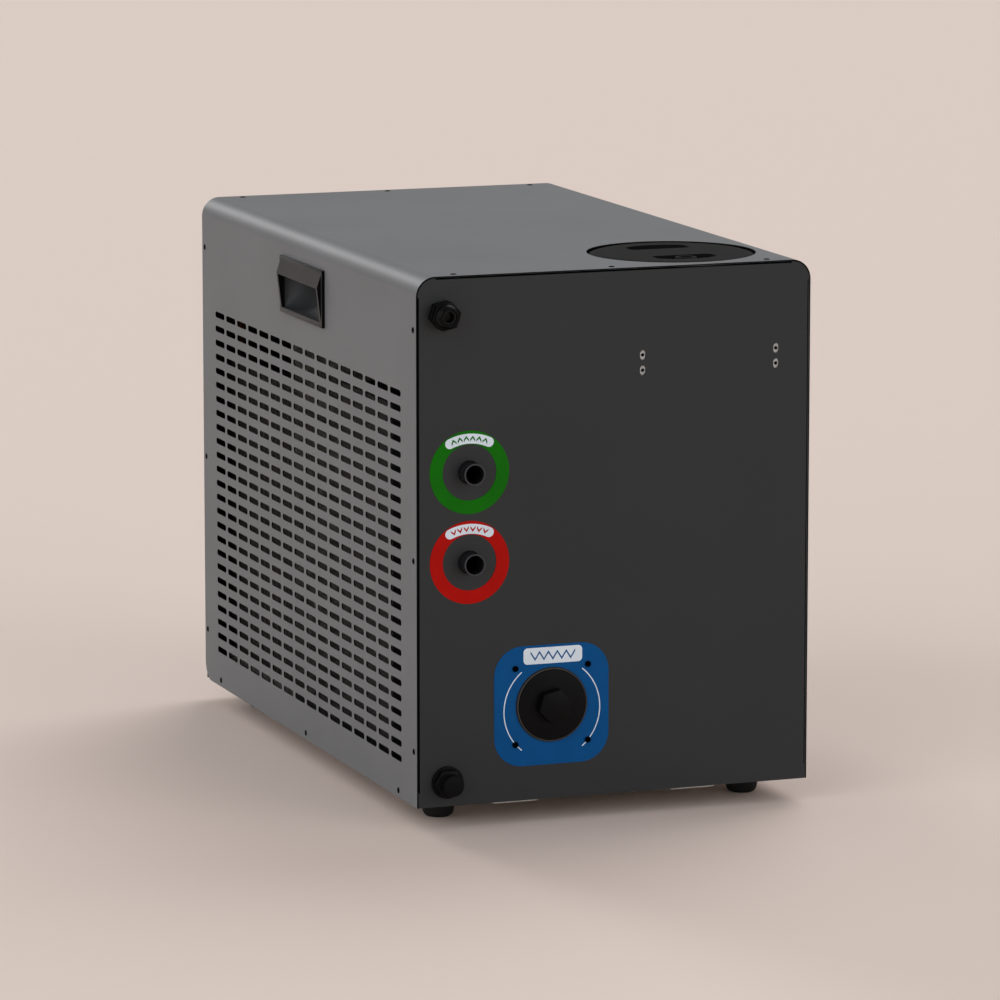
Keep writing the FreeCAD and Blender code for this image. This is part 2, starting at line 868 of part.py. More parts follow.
def filter_parts():
    """Filter housing, sealing ring, cartridge and screw cap, on one axis behind the front panel."""
    z = low_z + filter_z
    face = V(filter_x, front_y, z)
    out = V(0, -1, 0)
    y = front_y + panel_sheet
    bore = filter_plug_radius + filter_thread_gap
    outer = bore + filter_wall
    mouth = filter_mouth_radius()
    seal_low = seal_gap
    seal_high = seal_low + seal_height
    end = panel_sheet + filter_length
    half = filter_flange_width / 2
    flange = block(filter_x - half, filter_x + half, y, y + filter_flange_height, z - half, z + half)
    barrel = pole(few_sides, outer, filter_length, V(filter_x, y, z), axis_y)
    inset = V(filter_x, front_y + filter_port_inset, z)
    top_port = pole(few_sides, port_radius, outer + port_height, inset, axis_z)
    rear_port = pole(few_sides, port_radius, port_height, V(filter_x, front_y + end, z), axis_y)
    bore_corner = corner_radius(more_sides, bore)
    mouth_corner = corner_radius(more_sides, mouth)
    hollow = faceted(more_sides, [
        (0, 0),
        (mouth_corner, 0),
        (mouth_corner, seal_high + seal_gap),
        (bore_corner, seal_high + seal_gap),
        (bore_corner, end - filter_wall),
        (0, end - filter_wall),
    ], face, axis_y)
    spigot_y = front_y + end - filter_wall - spigot_length
    spigot = pole(few_sides, spigot_radius, spigot_length, V(filter_x, spigot_y, z), axis_y)
    shell = fuse_all([flange, barrel, top_port, rear_port]).cut(hollow)
    holes = []
    depth = filter_flange_height - panel_gap + play
    for x, hole_z in filter_screw_places():
        holes.append(prism(6, 2 * (filter_screw_radius + play), depth, V(x, y, hole_z), axis_y))
    housing = fuse_all([shell, spigot]).cut(holes)
    seal_inner = corner_radius(more_sides, filter_plug_radius + seal_gap)
    seal = faceted(more_sides, [
        (seal_inner, seal_low),
        (mouth - seal_gap, seal_low),
        (mouth - seal_gap, seal_high),
        (seal_inner, seal_high),
    ], face, axis_y)
    first = filter_plug_length + seal_gap
    last = end - filter_wall - seal_gap
    sleeve = corner_radius(few_sides, spigot_radius + spigot_gap)
    bottom = last - spigot_length - cartridge_cap
    cartridge = faceted(few_sides, [
        (0, first),
        (cartridge_radius, first),
        (cartridge_radius, last),
        (sleeve, last),
        (sleeve, bottom),
        (0, bottom),
    ], face, axis_y)
    disc = rod(filter_cap_radius(), filter_cap_height, face + out * seal_gap, out)
    plug = pole(more_sides, filter_plug_radius, filter_plug_length + seal_gap, face + out * seal_gap, axis_y)
    boss_y = front_y - seal_gap - filter_cap_height
    boss = front_hexagon(filter_boss_flats, filter_boss_height, filter_x, boss_y, z, filter_boss_turn)
    return housing, seal, cartridge, fuse_all([disc, plug, boss])


def drain_parts():
    """Drain sleeve, sealing washer, plug and backnut, at the lowest point of the water circuit."""
    z = low_z + drain_z
    face = V(drain_x, front_y, z)
    out = V(0, -1, 0)
    flange = pole(more_sides, drain_flange_radius, drain_flange_height, face, out)
    hex_y = front_y - drain_flange_height
    hexagon = front_hexagon(drain_hex_flats, drain_hex_height, drain_x, hex_y, z)
    sleeve = pole(few_sides, drain_sleeve_radius, drain_tail, face, axis_y)
    inner_end = face + axis_y * (drain_tail + panel_sheet)
    body = fuse_all([flange, hexagon, sleeve])
    bore = drain_stem_radius + drain_thread_gap
    body = body.cut(socket(few_sides, bore, 2 * drain_tail, inner_end, out))
    washer_low = drain_flange_height + drain_hex_height + seal_gap
    washer_high = washer_low + drain_washer
    washer_inner = corner_radius(few_sides, drain_stem_radius + seal_gap)
    washer = faceted(few_sides, [
        (washer_inner, washer_low),
        (drain_knob_radius - seal_gap, washer_low),
        (drain_knob_radius - seal_gap, washer_high),
        (washer_inner, washer_high),
    ], face, out)
    knob_low = washer_high + seal_gap
    stem_start = face + axis_y * drain_stem_length
    stem = pole(few_sides, drain_stem_radius, drain_stem_length + knob_low, stem_start, out)
    knob = rod(drain_knob_radius, drain_reach - knob_low, face + out * knob_low, out)
    back = V(drain_x, front_y + panel_sheet, z)
    backnut = prism(6, drain_hex_flats, drain_nut_height, back, axis_y)
    backnut = backnut.cut(socket(few_sides, drain_sleeve_radius + play, 3 * drain_nut_height, face, axis_y))
    return body, washer, fuse_all([stem, knob]), backnut


def strip_holes():
    places = []
    for dx in (-strip_spread_x / 2, strip_spread_x / 2):
        for dz in (-strip_spread_z / 2, strip_spread_z / 2):
            places.append((strip_x + dx, strip_z + dz))
    return places


def nut_strips():
    """Two tapped steel strips welded behind the oblong holes."""
    made = []
    y = front_y + panel_sheet
    for side in (-1, 1):
        x = strip_x + side * strip_spread_x / 2
        strip = block(x - strip_width / 2, x + strip_width / 2, y, y + strip_thickness,
                      strip_z - strip_length / 2, strip_z + strip_length / 2)
        holes = []
        for hole_x, hole_z in strip_holes():
            holes.append(rod(tapped_radius, 3 * strip_thickness, V(hole_x, front_y, hole_z), axis_y))
        made.append(strip.cut(holes))
    return made


def lid_levels():
    """Heights of the lid's underside, the neck's top, the lower edge of the skirt and the tank's top."""
    under = top_z - lid_thickness
    neck_top = under - seal_height - 2 * seal_gap
    skirt_low = neck_top - lid_overlap
    return under, neck_top, skirt_low, skirt_low - lid_gap


def neck_radii():
    outer = lid_radius - lid_wall - lid_thread_gap
    return outer - neck_wall, outer


def tank_box():
    """Corners of the tank's body, which stands on a narrower base, clear of the nuts of a foot."""
    half = neck_radii()[1] + tank_shoulder
    return (lid_x - half, lid_x + half, lid_y - half, lid_y + half,
            floor_z + tank_base_height, lid_levels()[3])


def tank():
    """Square tank with a round neck for the lid, a port for the outlet and one from the evaporator."""
    x0, x1, y0, y1, z0, z1 = tank_box()
    w = tank_wall
    neck_top = lid_levels()[1]
    neck_inner, neck_outer = neck_radii()
    neck_low = V(lid_x, lid_y, z1 - 2 * w)
    half = tank_base_half
    outlet = V(x0, lid_y, low_z + outlet_z)
    port = evaporator_port()
    supply = V(port.x, y1, port.z)
    supply_length = port.y - port_height - y1
    pieces = [
        block(x0, x1, y0, y1, z0, z1),
        block(lid_x - half, lid_x + half, lid_y - half, lid_y + half, floor_z, z0),
        pole(more_sides, neck_outer, neck_top - neck_low.z, neck_low, axis_z),
        pole(few_sides, port_radius, port_height, outlet, V(-1, 0, 0)),
        pole(few_sides, port_radius, supply_length, supply, axis_y),
    ]
    return fuse_all(pieces).cut([
        block(x0 + w, x1 - w, y0 + w, y1 - w, z0 + w, z1 - w),
        socket(more_sides, neck_inner, 2 * lid_overlap + 2 * w, neck_low, axis_z),
    ])


def lid_seal():
    neck_top = lid_levels()[1]
    neck_inner, neck_outer = neck_radii()
    inner = corner_radius(more_sides, neck_inner + seal_inset)
    low = neck_top + seal_gap
    return faceted(more_sides, [
        (inner, low),
        (neck_outer - seal_inset, low),
        (neck_outer - seal_inset, low + seal_height),
        (inner, low + seal_height),
    ], V(lid_x, lid_y, 0), axis_z)


def grip(side, wall, low, high):
    """The bar of one finger grip, bounded by an arc on its outer side."""
    half = grip_half_length + wall
    y0, y1 = sorted((side * (grip_inner - wall), side * (grip_outer + wall)))
    bar = block(lid_x - half, lid_x + half, lid_y + y0, lid_y + y1, low, high)
    return bar.common(pole(label_sides, grip_outer + wall, high - low, V(lid_x, lid_y, low), axis_z))


def lid():
    """Round lid with a skirt and two finger grips."""
    under, neck_top, skirt_low, tank_top = lid_levels()
    foot_point = V(lid_x, lid_y, skirt_low)
    disc = rod(lid_radius, top_z - skirt_low, foot_point, axis_z)
    disc = disc.cut(socket(more_sides, lid_radius - lid_wall, under - skirt_low, foot_point, axis_z))
    cups = [grip(side, grip_wall, top_z - grip_depth - grip_wall, under) for side in (-1, 1)]
    pockets = [grip(side, 0, top_z - grip_depth, top_z + overrun) for side in (-1, 1)]
    return fuse_all([disc] + cups).cut(pockets)


def partition():
    """Upright sheet between the water side and the refrigeration side, which ends under the handles."""
    y = core_box()[2] - partition_gap
    half = flange_half - partition_margin
    top = handle_top - handle_height + handle_border - partition_margin
    sheet = block(-half, half, y, y + partition_sheet, floor_z, top)
    shelf = block(-half, half, y, y + partition_foot, floor_z, floor_z + partition_sheet)
    cuts = []
    for x, z, flats in pipe_crossings():
        start = V(x, y - partition_sheet, z)
        cuts.append(prism(6, flats + 2 * pipe_hole_gap, 3 * partition_sheet, start, axis_y))
    return fuse_all([sheet, shelf]).cut(cuts)


def core_box():
    """Corners of the condenser's finned block."""
    y1 = rear_y - core_back_gap
    z0 = floor_z + evaporator_liquid_z + pipe_bend + pipe_leg
    return core_x, core_x + core_thickness, y1 - core_width, y1, z0, z0 + core_height


def condenser_core():
    """Finned block of the condenser."""
    return block(*core_box())


def header_places():
    """Axes of the condenser's headers, front and rear."""
    x0, x1, y0, y1, z0, z1 = core_box()
    x = (x0 + x1) / 2
    return (x, y0 - header_radius + header_lap), (x, y1 + header_radius - header_lap)


def condenser_headers():
    """Upright headers at both ends of the finned block."""
    x0, x1, y0, y1, z0, z1 = core_box()
    made = []
    for x, y in header_places():
        made.append(pole(few_sides, header_radius, z1 - z0, V(x, y, z0), axis_z).cut(condenser_core()))
    return made


def condenser_stand():
    """Folded channel that carries the finned block above the base."""
    x0, x1, y0, y1, z0, z1 = core_box()
    outer = block(x0, x1, y0, y1, floor_z, z0)
    inner = block(x0 + stand_sheet, x1 - stand_sheet, y0, y1, floor_z, z0 - stand_sheet)
    return outer.cut(inner)


def fan_shroud():
    """Folded shroud on the back of the condenser, with a round collar for the fan."""
    x0, x1, y0, y1, z0, z1 = core_box()
    hole = fan_radius + fan_tip_gap
    centre = V(x1, fan_y(), fan_z())
    s = shroud_sheet
    outer = block(x1, x1 + shroud_depth, y0, y1, z0, z1)
    inner = block(x1, x1 + shroud_depth - s, y0 + s, y1 - s, z0 + s, z1 - s)
    collar = socket(more_sides, hole + s, shroud_depth, centre + V(collar_inset, 0, 0), axis_x)
    shape = fuse_all([outer.cut(inner), collar])
    return shape.cut(socket(more_sides, hole, 3 * shroud_depth, centre, axis_x))


def fan_plane():
    """X of the fan hub's face on the condenser's side."""
    return core_x + core_thickness + shroud_depth + collar_inset - fan_hub_length


def motor_plane():
    """X of the motor's face on the fan's side."""
    return fan_plane() + fan_hub_length + motor_gap


def fan_rotor():
    """Hub and pitched blades of the axial fan."""
    centre = V(fan_plane(), fan_y(), fan_z())
    half_sheet = fan_blade_sheet / 2
    half_chord = fan_blade_chord / 2
    pieces = [pole(few_sides, fan_hub_radius, fan_hub_length, centre, axis_x)]
    for i in range(fan_blades):
        root = fan_hub_radius - fan_blade_root
        blade = block(-half_sheet, half_sheet, -half_chord, half_chord, root, fan_radius)
        blade.rotate(V(0, 0, 0), axis_z, fan_blade_pitch)
        blade.rotate(V(0, 0, 0), axis_x, 360.0 * i / fan_blades)
        blade.translate(centre + V(fan_hub_length / 2, 0, 0))
        pieces.append(blade)
    reach = axis_x * fan_blade_chord
    shape = fuse_all(pieces).common(pole(more_sides, fan_radius, 3 * fan_blade_chord, centre - reach, axis_x))
    bore_start = centre - axis_x * overrun
    return shape.cut(socket(few_sides, shaft_radius + play, 3 * fan_hub_length, bore_start, axis_x))


def fan_shaft():
    """Steel shaft that carries the hub and runs in the motor."""
    start = V(fan_plane(), fan_y(), fan_z())
    return rod(shaft_radius, fan_hub_length + motor_gap + shaft_insert, start, axis_x)


def fan_motor():
    """Round motor behind the fan, with a bore for the shaft."""
    start = V(motor_plane(), fan_y(), fan_z())
    body = pole(few_sides, motor_radius, motor_length, start, axis_x)
    return body.cut(socket(few_sides, shaft_radius + shaft_play, shaft_insert + seal_gap, start, axis_x))


def motor_bracket():
    """Upright strap on the base that holds the motor's end."""
    x = motor_plane() + motor_length
    y0, y1 = fan_y() - bracket_width / 2, fan_y() + bracket_width / 2
    strap = block(x, x + bracket_sheet, y0, y1, floor_z, fan_z() + motor_radius)
    foot_plate = block(x - bracket_foot, x, y0, y1, floor_z, floor_z + bracket_sheet)
    return fuse_all([strap, foot_plate])


def compressor_centre():
    return V(compressor_x, rear_y - compressor_back, floor_z + mount_height)


def mount_places():
    places = []
    centre = compressor_centre()
    circle = compressor_radius + mount_reach
    for i in range(mount_count):
        angle = math.radians(90) + 2 * math.pi * i / mount_count
        places.append((centre.x + circle * math.cos(angle), centre.y + circle * math.sin(angle)))
    return places


def compressor():
    """Welded shell with its foot plate and two pipe stubs."""
    centre = compressor_centre()
    high = compressor_plate + compressor_height
    shell = faceted(few_sides, [
        (0, compressor_plate / 2),
        (compressor_radius, compressor_plate / 2),
        (compressor_radius, high - compressor_dome),
        (compressor_crown * compressor_radius, high),
        (0, high),
    ], centre, axis_z)
    pieces = [shell]
    length = compressor_radius + compressor_port_reach
    pieces.append(pole(few_sides, compressor_port, length, centre + V(0, 0, discharge_height), axis_y))
    pieces.append(pole(few_sides, compressor_port, length, centre + V(0, 0, suction_height), V(0, -1, 0)))
    holes = []
    for x, y in mount_places():
        away = V(x, y, centre.z) - centre
        half = mount_flats / 2
        arm = block(0, away.Length + half, -half, half, 0, compressor_plate)
        arm.rotate(V(0, 0, 0), axis_z, math.degrees(math.atan2(away.y, away.x)))
        arm.translate(centre)
        pieces.append(arm)
        start = V(x, y, centre.z - compressor_plate)
        holes.append(prism(6, mount_bolt_flats + 2 * play, 3 * compressor_plate, start, axis_z))
    return fuse_all(pieces).cut(holes)


def compressor_mounts():
    """Rubber grommets under the compressor's foot plate."""
    made = []
    for x, y in mount_places():
        grommet = prism(6, mount_flats, mount_height, V(x, y, floor_z), axis_z)
        bore = prism(6, mount_bolt_flats + 2 * play, 3 * mount_height, V(x, y, low_z), axis_z)
        made.append(grommet.cut(bore))
    return made


def compressor_bolts():
    made = []
    top = floor_z + mount_height + compressor_plate
    for x, y in mount_places():
        shank = prism(6, mount_bolt_flats, top - pan_floor, V(x, y, pan_floor), axis_z)
        head = prism(6, mount_bolt_head, mount_bolt_head_height, V(x, y, top), axis_z)
        made.append(fuse_all([shank, head]))
    return made


def pump_start():
    """Front end of the pump, on the axis of the filter's rear port."""
    y = front_y + panel_sheet + filter_length + port_height
    return V(filter_x, y, low_z + filter_z)


def pump_port():
    """Mouth of the pump's outlet, which points to +X."""
    return pump_start() + V(pump_radius + port_height, pump_volute / 2, 0)


def pump():
    """Volute with its outlet port, standing on its foot."""
    start = pump_start()
    volute = pole(few_sides, pump_radius, pump_volute, start, axis_y)
    middle = start + V(0, pump_volute / 2, 0)
    port = pole(few_sides, port_radius, pump_radius + port_height, middle, axis_x)
    half = pump_foot_width / 2
    base = block(start.x - half, start.x + half, start.y, start.y + pump_volute, floor_z, start.z)
    return fuse_all([volute, port, base])


def pump_motor():
    start = pump_start() + V(0, pump_volute, 0)
    return pole(few_sides, pump_motor_radius, pump_motor_length, start, axis_y)


def evaporator_box():
    """Corners of the plate evaporator, behind the tank."""
    x0 = pump_port().x + feed_gap
    y0 = tank_box()[3] + evaporator_gap
    return x0, x0 + evaporator_width, y0, y0 + evaporator_depth, floor_z, floor_z + evaporator_height


def evaporator_port():
    """Centre of the evaporator's upper port, on its front."""
    x0, x1, y0, y1, z0, z1 = evaporator_box()
    return V(x0 + evaporator_port_side, y0, z1 - evaporator_port_drop)


def evaporator():
    """Brazed plate evaporator in its jacket, with a port to the tank and one from the pump."""
    x0, x1, y0, y1, z0, z1 = evaporator_box()
    high = evaporator_port()
    low = V(x0, pump_port().y, pump_port().z)
    ports = [pole(few_sides, port_radius, port_height, high, V(0, -1, 0)),
             pole(few_sides, port_radius, port_height, low, V(-1, 0, 0))]
    return fuse_all([block(x0, x1, y0, y1, z0, z1)] + ports)


def hose(points, ends):
    """A hose along a route, bored at each end for the pipe that it is pushed on."""
    bores = [socket(few_sides, radius + play, length, start, out) for radius, start, out, length in ends]
    return route(points, hose_flats, hose_bend).cut(bores)


def hoses():
    """Inlet to filter, pump to evaporator, and tank to outlet."""
    tail_y = front_y + panel_sheet + stub_flange_height + stub_tail
    first_y = tail_y - stub_tail + hose_gap
    turn_y = front_y + filter_port_inset
    barrel_top = low_z + filter_z + filter_plug_radius + filter_thread_gap + filter_wall
    z = low_z + inlet_z
    inlet = hose(
        [V(stub_x, first_y, z), V(stub_x, turn_y, z), V(filter_x, turn_y, z),
         V(filter_x, turn_y, barrel_top + hose_gap)],
        [(stub_radius, V(stub_x, first_y, z), axis_y, tail_y - first_y),
         (port_radius, V(filter_x, turn_y, barrel_top), axis_z, port_height)])
    z = low_z + outlet_z
    tank_x = tank_box()[0]
    outlet = hose(
        [V(stub_x, first_y, z), V(stub_x, lid_y, z), V(tank_x - hose_gap, lid_y, z)],
        [(stub_radius, V(stub_x, first_y, z), axis_y, tail_y - first_y),
         (port_radius, V(tank_x - port_height, lid_y, z), axis_x, port_height)])
    mouth = pump_port()
    x0 = evaporator_box()[0]
    lap = port_height - hose_gap
    start = mouth - axis_x * lap
    feed = prism(6, hose_flats, x0 - hose_gap - start.x, start, axis_x)
    far_bore = V(x0 - port_height, mouth.y, mouth.z)
    feed = feed.cut([socket(few_sides, port_radius + play, lap, start, axis_x),
                     socket(few_sides, port_radius + play, port_height, far_bore, axis_x)])
    return inlet, outlet, feed


def pipe_crossings():
    """Where refrigerant pipes pass the partition: x, z and width across flats."""
    liquid = (evaporator_port().x, floor_z + evaporator_liquid_z, pipe_flats)
    suction = (compressor_x, evaporator_box()[5] - evaporator_suction_drop, suction_flats)
    return liquid, suction


def drier_point():
    """Where the first liquid pipe meets the drier."""
    x, y = header_places()[0]
    return V(x + drier_start, y, floor_z + evaporator_liquid_z)


def drier():
    return pole(few_sides, drier_radius, drier_length, drier_point(), axis_x)


def refrigerant_pipes():
    """Discharge pipe, the liquid pipe before and after the drier, and the suction pipe."""
    z1 = core_box()[5]
    centre = compressor_centre()
    reach = compressor_radius + compressor_port_reach
    back_x, back_y = header_places()[1]
    top = z1 + pipe_rise
    high = centre + V(0, reach, discharge_height)
    discharge = route(
        [high, V(high.x, back_y, high.z), V(high.x, back_y, top), V(back_x, back_y, top),
         V(back_x, back_y, z1)], pipe_flats, pipe_bend)
    front_x, front_header_y = header_places()[0]
    joint = drier_point()
    first = route([V(front_x, front_header_y, core_box()[4]), V(front_x, front_header_y, joint.z), joint],
                  pipe_flats, pipe_bend)
    end = joint + axis_x * drier_length
    wall_y = evaporator_box()[3]
    port_x = evaporator_port().x
    second = route([end, V(port_x, end.y, end.z), V(port_x, wall_y, end.z)], pipe_flats, pipe_bend)
    low = centre - V(0, reach, -suction_height)
    suction_z = evaporator_box()[5] - evaporator_suction_drop
    turn_y = low.y - 2 * pipe_bend
    suction = route([V(low.x, wall_y, suction_z), V(low.x, turn_y, suction_z), V(low.x, turn_y, low.z), low],
                    suction_flats, pipe_bend)
    return [discharge, first, second, suction]


def control_box():
    """Electrical box behind the front half of the inlet grille, and its lid on the inner side."""
    x0 = control_side_gap - half_width
    x1 = x0 + control_width
    y0 = lid_y + hose_flats / 2 + control_front_gap
    y1 = y0 + control_depth
    z1 = floor_z + control_height
    body = block(x0, x1, y0, y1, floor_z, z1)
    return body, block(x1, x1 + control_lid, y0, y1, floor_z, z1)


def save(name, shapes):
    """Writes one sub-part. Several like solids go in one file."""
    shape = Part.makeCompound(shapes) if isinstance(shapes, list) else shapes
    for solid in shape.Solids:
        if not solid.isValid():
            raise ValueError(name + " has a solid that isn't valid")
    shape.exportStep("parts/" + name + ".step")
    print(name, len(shape.Solids), round(shape.Volume))


os.makedirs("parts", exist_ok=True)
save("wrap_cover", wrap_cover())
save("front_panel", front_panel())
save("rear_panel", rear_panel())
save("base_pan", base_pan())
save("base_rails", base_rails())
save("cover_screws", cover_screws())
save("nut_strips", nut_strips())
foot_names = ("foot_front_left", "foot_front_right", "foot_rear_left", "foot_rear_right")
for name, place in zip(foot_names, foot_places()):
    save(name, foot(*place))
save("foot_studs", foot_studs())
save("foot_nuts", foot_nuts())
save("handle_left", handle(-1))
save("handle_right", handle(1))
for name, shape in zip(("gland_body", "gland_nut", "gland_insert", "gland_locknut"), gland_parts()):
    save(name, shape)
save("outlet_stub", stub(outlet_z))
save("inlet_stub", stub(inlet_z))
save("outlet_label", ring_label(outlet_z))
save("inlet_label", ring_label(inlet_z))
save("filter_label", filter_label())
save("filter_screws", filter_screws())
for name, shape in zip(("filter_housing", "filter_seal", "filter_cartridge", "filter_cap"), filter_parts()):
    save(name, shape)
for name, shape in zip(("drain_sleeve", "drain_washer", "drain_plug", "drain_backnut"), drain_parts()):
    save(name, shape)
save("lid", lid())
save("lid_seal", lid_seal())
save("tank", tank())
save("partition", partition())
save("condenser_core", condenser_core())
save("condenser_headers", condenser_headers())
save("condenser_stand", condenser_stand())
save("fan_shroud", fan_shroud())
save("fan_rotor", fan_rotor())
save("fan_shaft", fan_shaft())
save("fan_motor", fan_motor())
save("motor_bracket", motor_bracket())
save("compressor", compressor())
save("compressor_mounts", compressor_mounts())
save("compressor_bolts", compressor_bolts())
save("pump", pump())
save("pump_motor", pump_motor())
save("evaporator", evaporator())
for name, shape in zip(("inlet_hose", "outlet_hose", "feed_hose"), hoses()):
    save(name, shape)
save("refrigerant_pipes", refrigerant_pipes())
save("filter_drier", drier())
for name, shape in zip(("control_box", "control_box_lid"), control_box()):
    save(name, shape)
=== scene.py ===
import math

import bmesh
import bpy
from mathutils import Matrix, Vector


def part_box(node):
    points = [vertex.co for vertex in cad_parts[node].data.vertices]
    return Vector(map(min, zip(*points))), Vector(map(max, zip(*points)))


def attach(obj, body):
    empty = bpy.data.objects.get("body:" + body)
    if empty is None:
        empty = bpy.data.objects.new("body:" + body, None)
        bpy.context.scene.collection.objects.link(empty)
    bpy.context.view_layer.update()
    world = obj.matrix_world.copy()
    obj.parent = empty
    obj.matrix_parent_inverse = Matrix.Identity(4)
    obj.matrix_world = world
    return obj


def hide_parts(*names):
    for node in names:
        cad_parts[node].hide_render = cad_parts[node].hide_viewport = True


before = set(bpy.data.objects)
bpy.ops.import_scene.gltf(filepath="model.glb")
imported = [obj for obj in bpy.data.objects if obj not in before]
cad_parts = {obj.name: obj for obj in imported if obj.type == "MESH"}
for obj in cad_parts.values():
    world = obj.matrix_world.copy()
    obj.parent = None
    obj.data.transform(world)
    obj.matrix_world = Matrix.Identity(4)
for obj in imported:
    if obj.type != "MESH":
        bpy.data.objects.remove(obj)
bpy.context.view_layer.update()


# The camera
# The product was pictured with a long lens from the left, a little above the lid. Its place and lens
# were solved from the casing's edges, with the principal point in the middle of the picture.
view_from = Vector((-1.9198, -5.2509, 1.1982))
view_along = Vector((0.3388, 0.9256, -0.1685))
lens_mm = 214.33
sensor_mm = 36
camera = bpy.data.objects.new("camera", bpy.data.cameras.new("camera"))
camera.data.lens = lens_mm
camera.data.sensor_width = sensor_mm
camera.data.clip_end = 50
camera.location = view_from
camera.rotation_mode = "QUATERNION"
camera.rotation_quaternion = view_along.to_track_quat("-Z", "Y")
bpy.context.collection.objects.link(camera)
bpy.context.scene.camera = camera
bpy.context.scene.view_settings.view_transform = "Standard"


# Paper sweep and studio light
# A warm off-white paper sweep lies under and behind the casing, below a tent that is brighter overhead.
# The key light hangs behind on the right, so the shadow falls to the left and forwards. Two broad fills
# stand low on the left and in front, and a light behind draws the bright line along the left bend.
def linear(code):
    """The linear colour of an sRGB hex value, with full alpha."""
    parts = [int(code[i:i + 2], 16) / 255 for i in (1, 3, 5)]
    return [c / 12.92 if c <= 0.04045 else ((c + 0.055) / 1.055) ** 2.4 for c in parts] + [1]


def put(tree, kind, inputs=(), **options):
    """Adds a node with its options, and sets or links its inputs."""
    made = tree.nodes.new(kind)
    for key, value in options.items():
        setattr(made, key, value)
    for key, value in dict(inputs).items():
        if isinstance(value, bpy.types.NodeSocket):
            tree.links.new(value, made.inputs[key])
        else:
            made.inputs[key].default_value = value
    return made


def new_material(name):
    material = bpy.data.materials.new(name)
    material.use_nodes = True
    material.node_tree.nodes.clear()
    return material


sweep_colour = linear("#ead9cf")
wall_colour = linear("#dbcfca")
tent_colour = linear("#fffaf8")
tent_low = 0.1
tent_high = 0.47
world = bpy.data.worlds.new("studio")
world.use_nodes = True
world.node_tree.nodes.clear()
tree = world.node_tree
rays = put(tree, "ShaderNodeLightPath")
seen = put(tree, "ShaderNodeMath", {0: rays.outputs["Is Camera Ray"], 1: rays.outputs["Is Transmission Ray"]},
           operation="MAXIMUM")
backdrop = put(tree, "ShaderNodeBackground", {"Color": wall_colour, "Strength": 1.0})
where = put(tree, "ShaderNodeTexCoord")
height = put(tree, "ShaderNodeSeparateXYZ", {0: where.outputs["Generated"]})
tent = put(tree, "ShaderNodeMapRange", {"Value": height.outputs["Z"], "To Min": tent_low,
                                        "To Max": tent_high})
ambient = put(tree, "ShaderNodeBackground", {"Color": tent_colour, "Strength": tent.outputs[0]})
both = put(tree, "ShaderNodeMixShader", {0: seen.outputs[0], 1: ambient.outputs[0], 2: backdrop.outputs[0]})
put(tree, "ShaderNodeOutputWorld", {"Surface": both.outputs[0]})
bpy.context.scene.world = world

sweep = new_material("matt_paper_sweep")
tree = sweep.node_tree
paper = put(tree, "ShaderNodeBsdfPrincipled", {"Base Color": sweep_colour, "Roughness": 0.9})
put(tree, "ShaderNodeOutputMaterial", {"Surface": paper.outputs[0]})
sweep_half = 14.0
floor_mesh = bpy.data.meshes.new("floor")
corners = [(-sweep_half, -sweep_half, 0), (sweep_half, -sweep_half, 0), (sweep_half, sweep_half, 0),
           (-sweep_half, sweep_half, 0)]
floor_mesh.from_pydata(corners, [], [(0, 1, 2, 3)])
floor_mesh.materials.append(sweep)
floor = bpy.data.objects.new("floor", floor_mesh)
bpy.context.collection.objects.link(floor)


def soft_light(name, towards, strength, spread, code="#ffffff"):
    """A far soft light. The vector points from the casing to the light."""
    lamp = bpy.data.lights.new(name, "SUN")
    lamp.energy = strength
    lamp.color = linear(code)[:3]
    lamp.angle = math.radians(spread)
    made = bpy.data.objects.new(name, lamp)
    made.location = Vector(towards) * 4
    made.rotation_mode = "QUATERNION"
    made.rotation_quaternion = (-Vector(towards)).to_track_quat("-Z", "Y")
    bpy.context.collection.objects.link(made)


soft_light("key", (0.54, 0.48, 0.69), 1.05, 46)
soft_light("left_fill", (-0.93, -0.28, 0.22), 1.45, 80, "#f4f9ff")
soft_light("right_fill", (0.5, -0.83, 0.25), 0.86, 50, "#fafcff")
soft_light("edge", (-0.17, 0.93, 0.34), 0.68, 16)


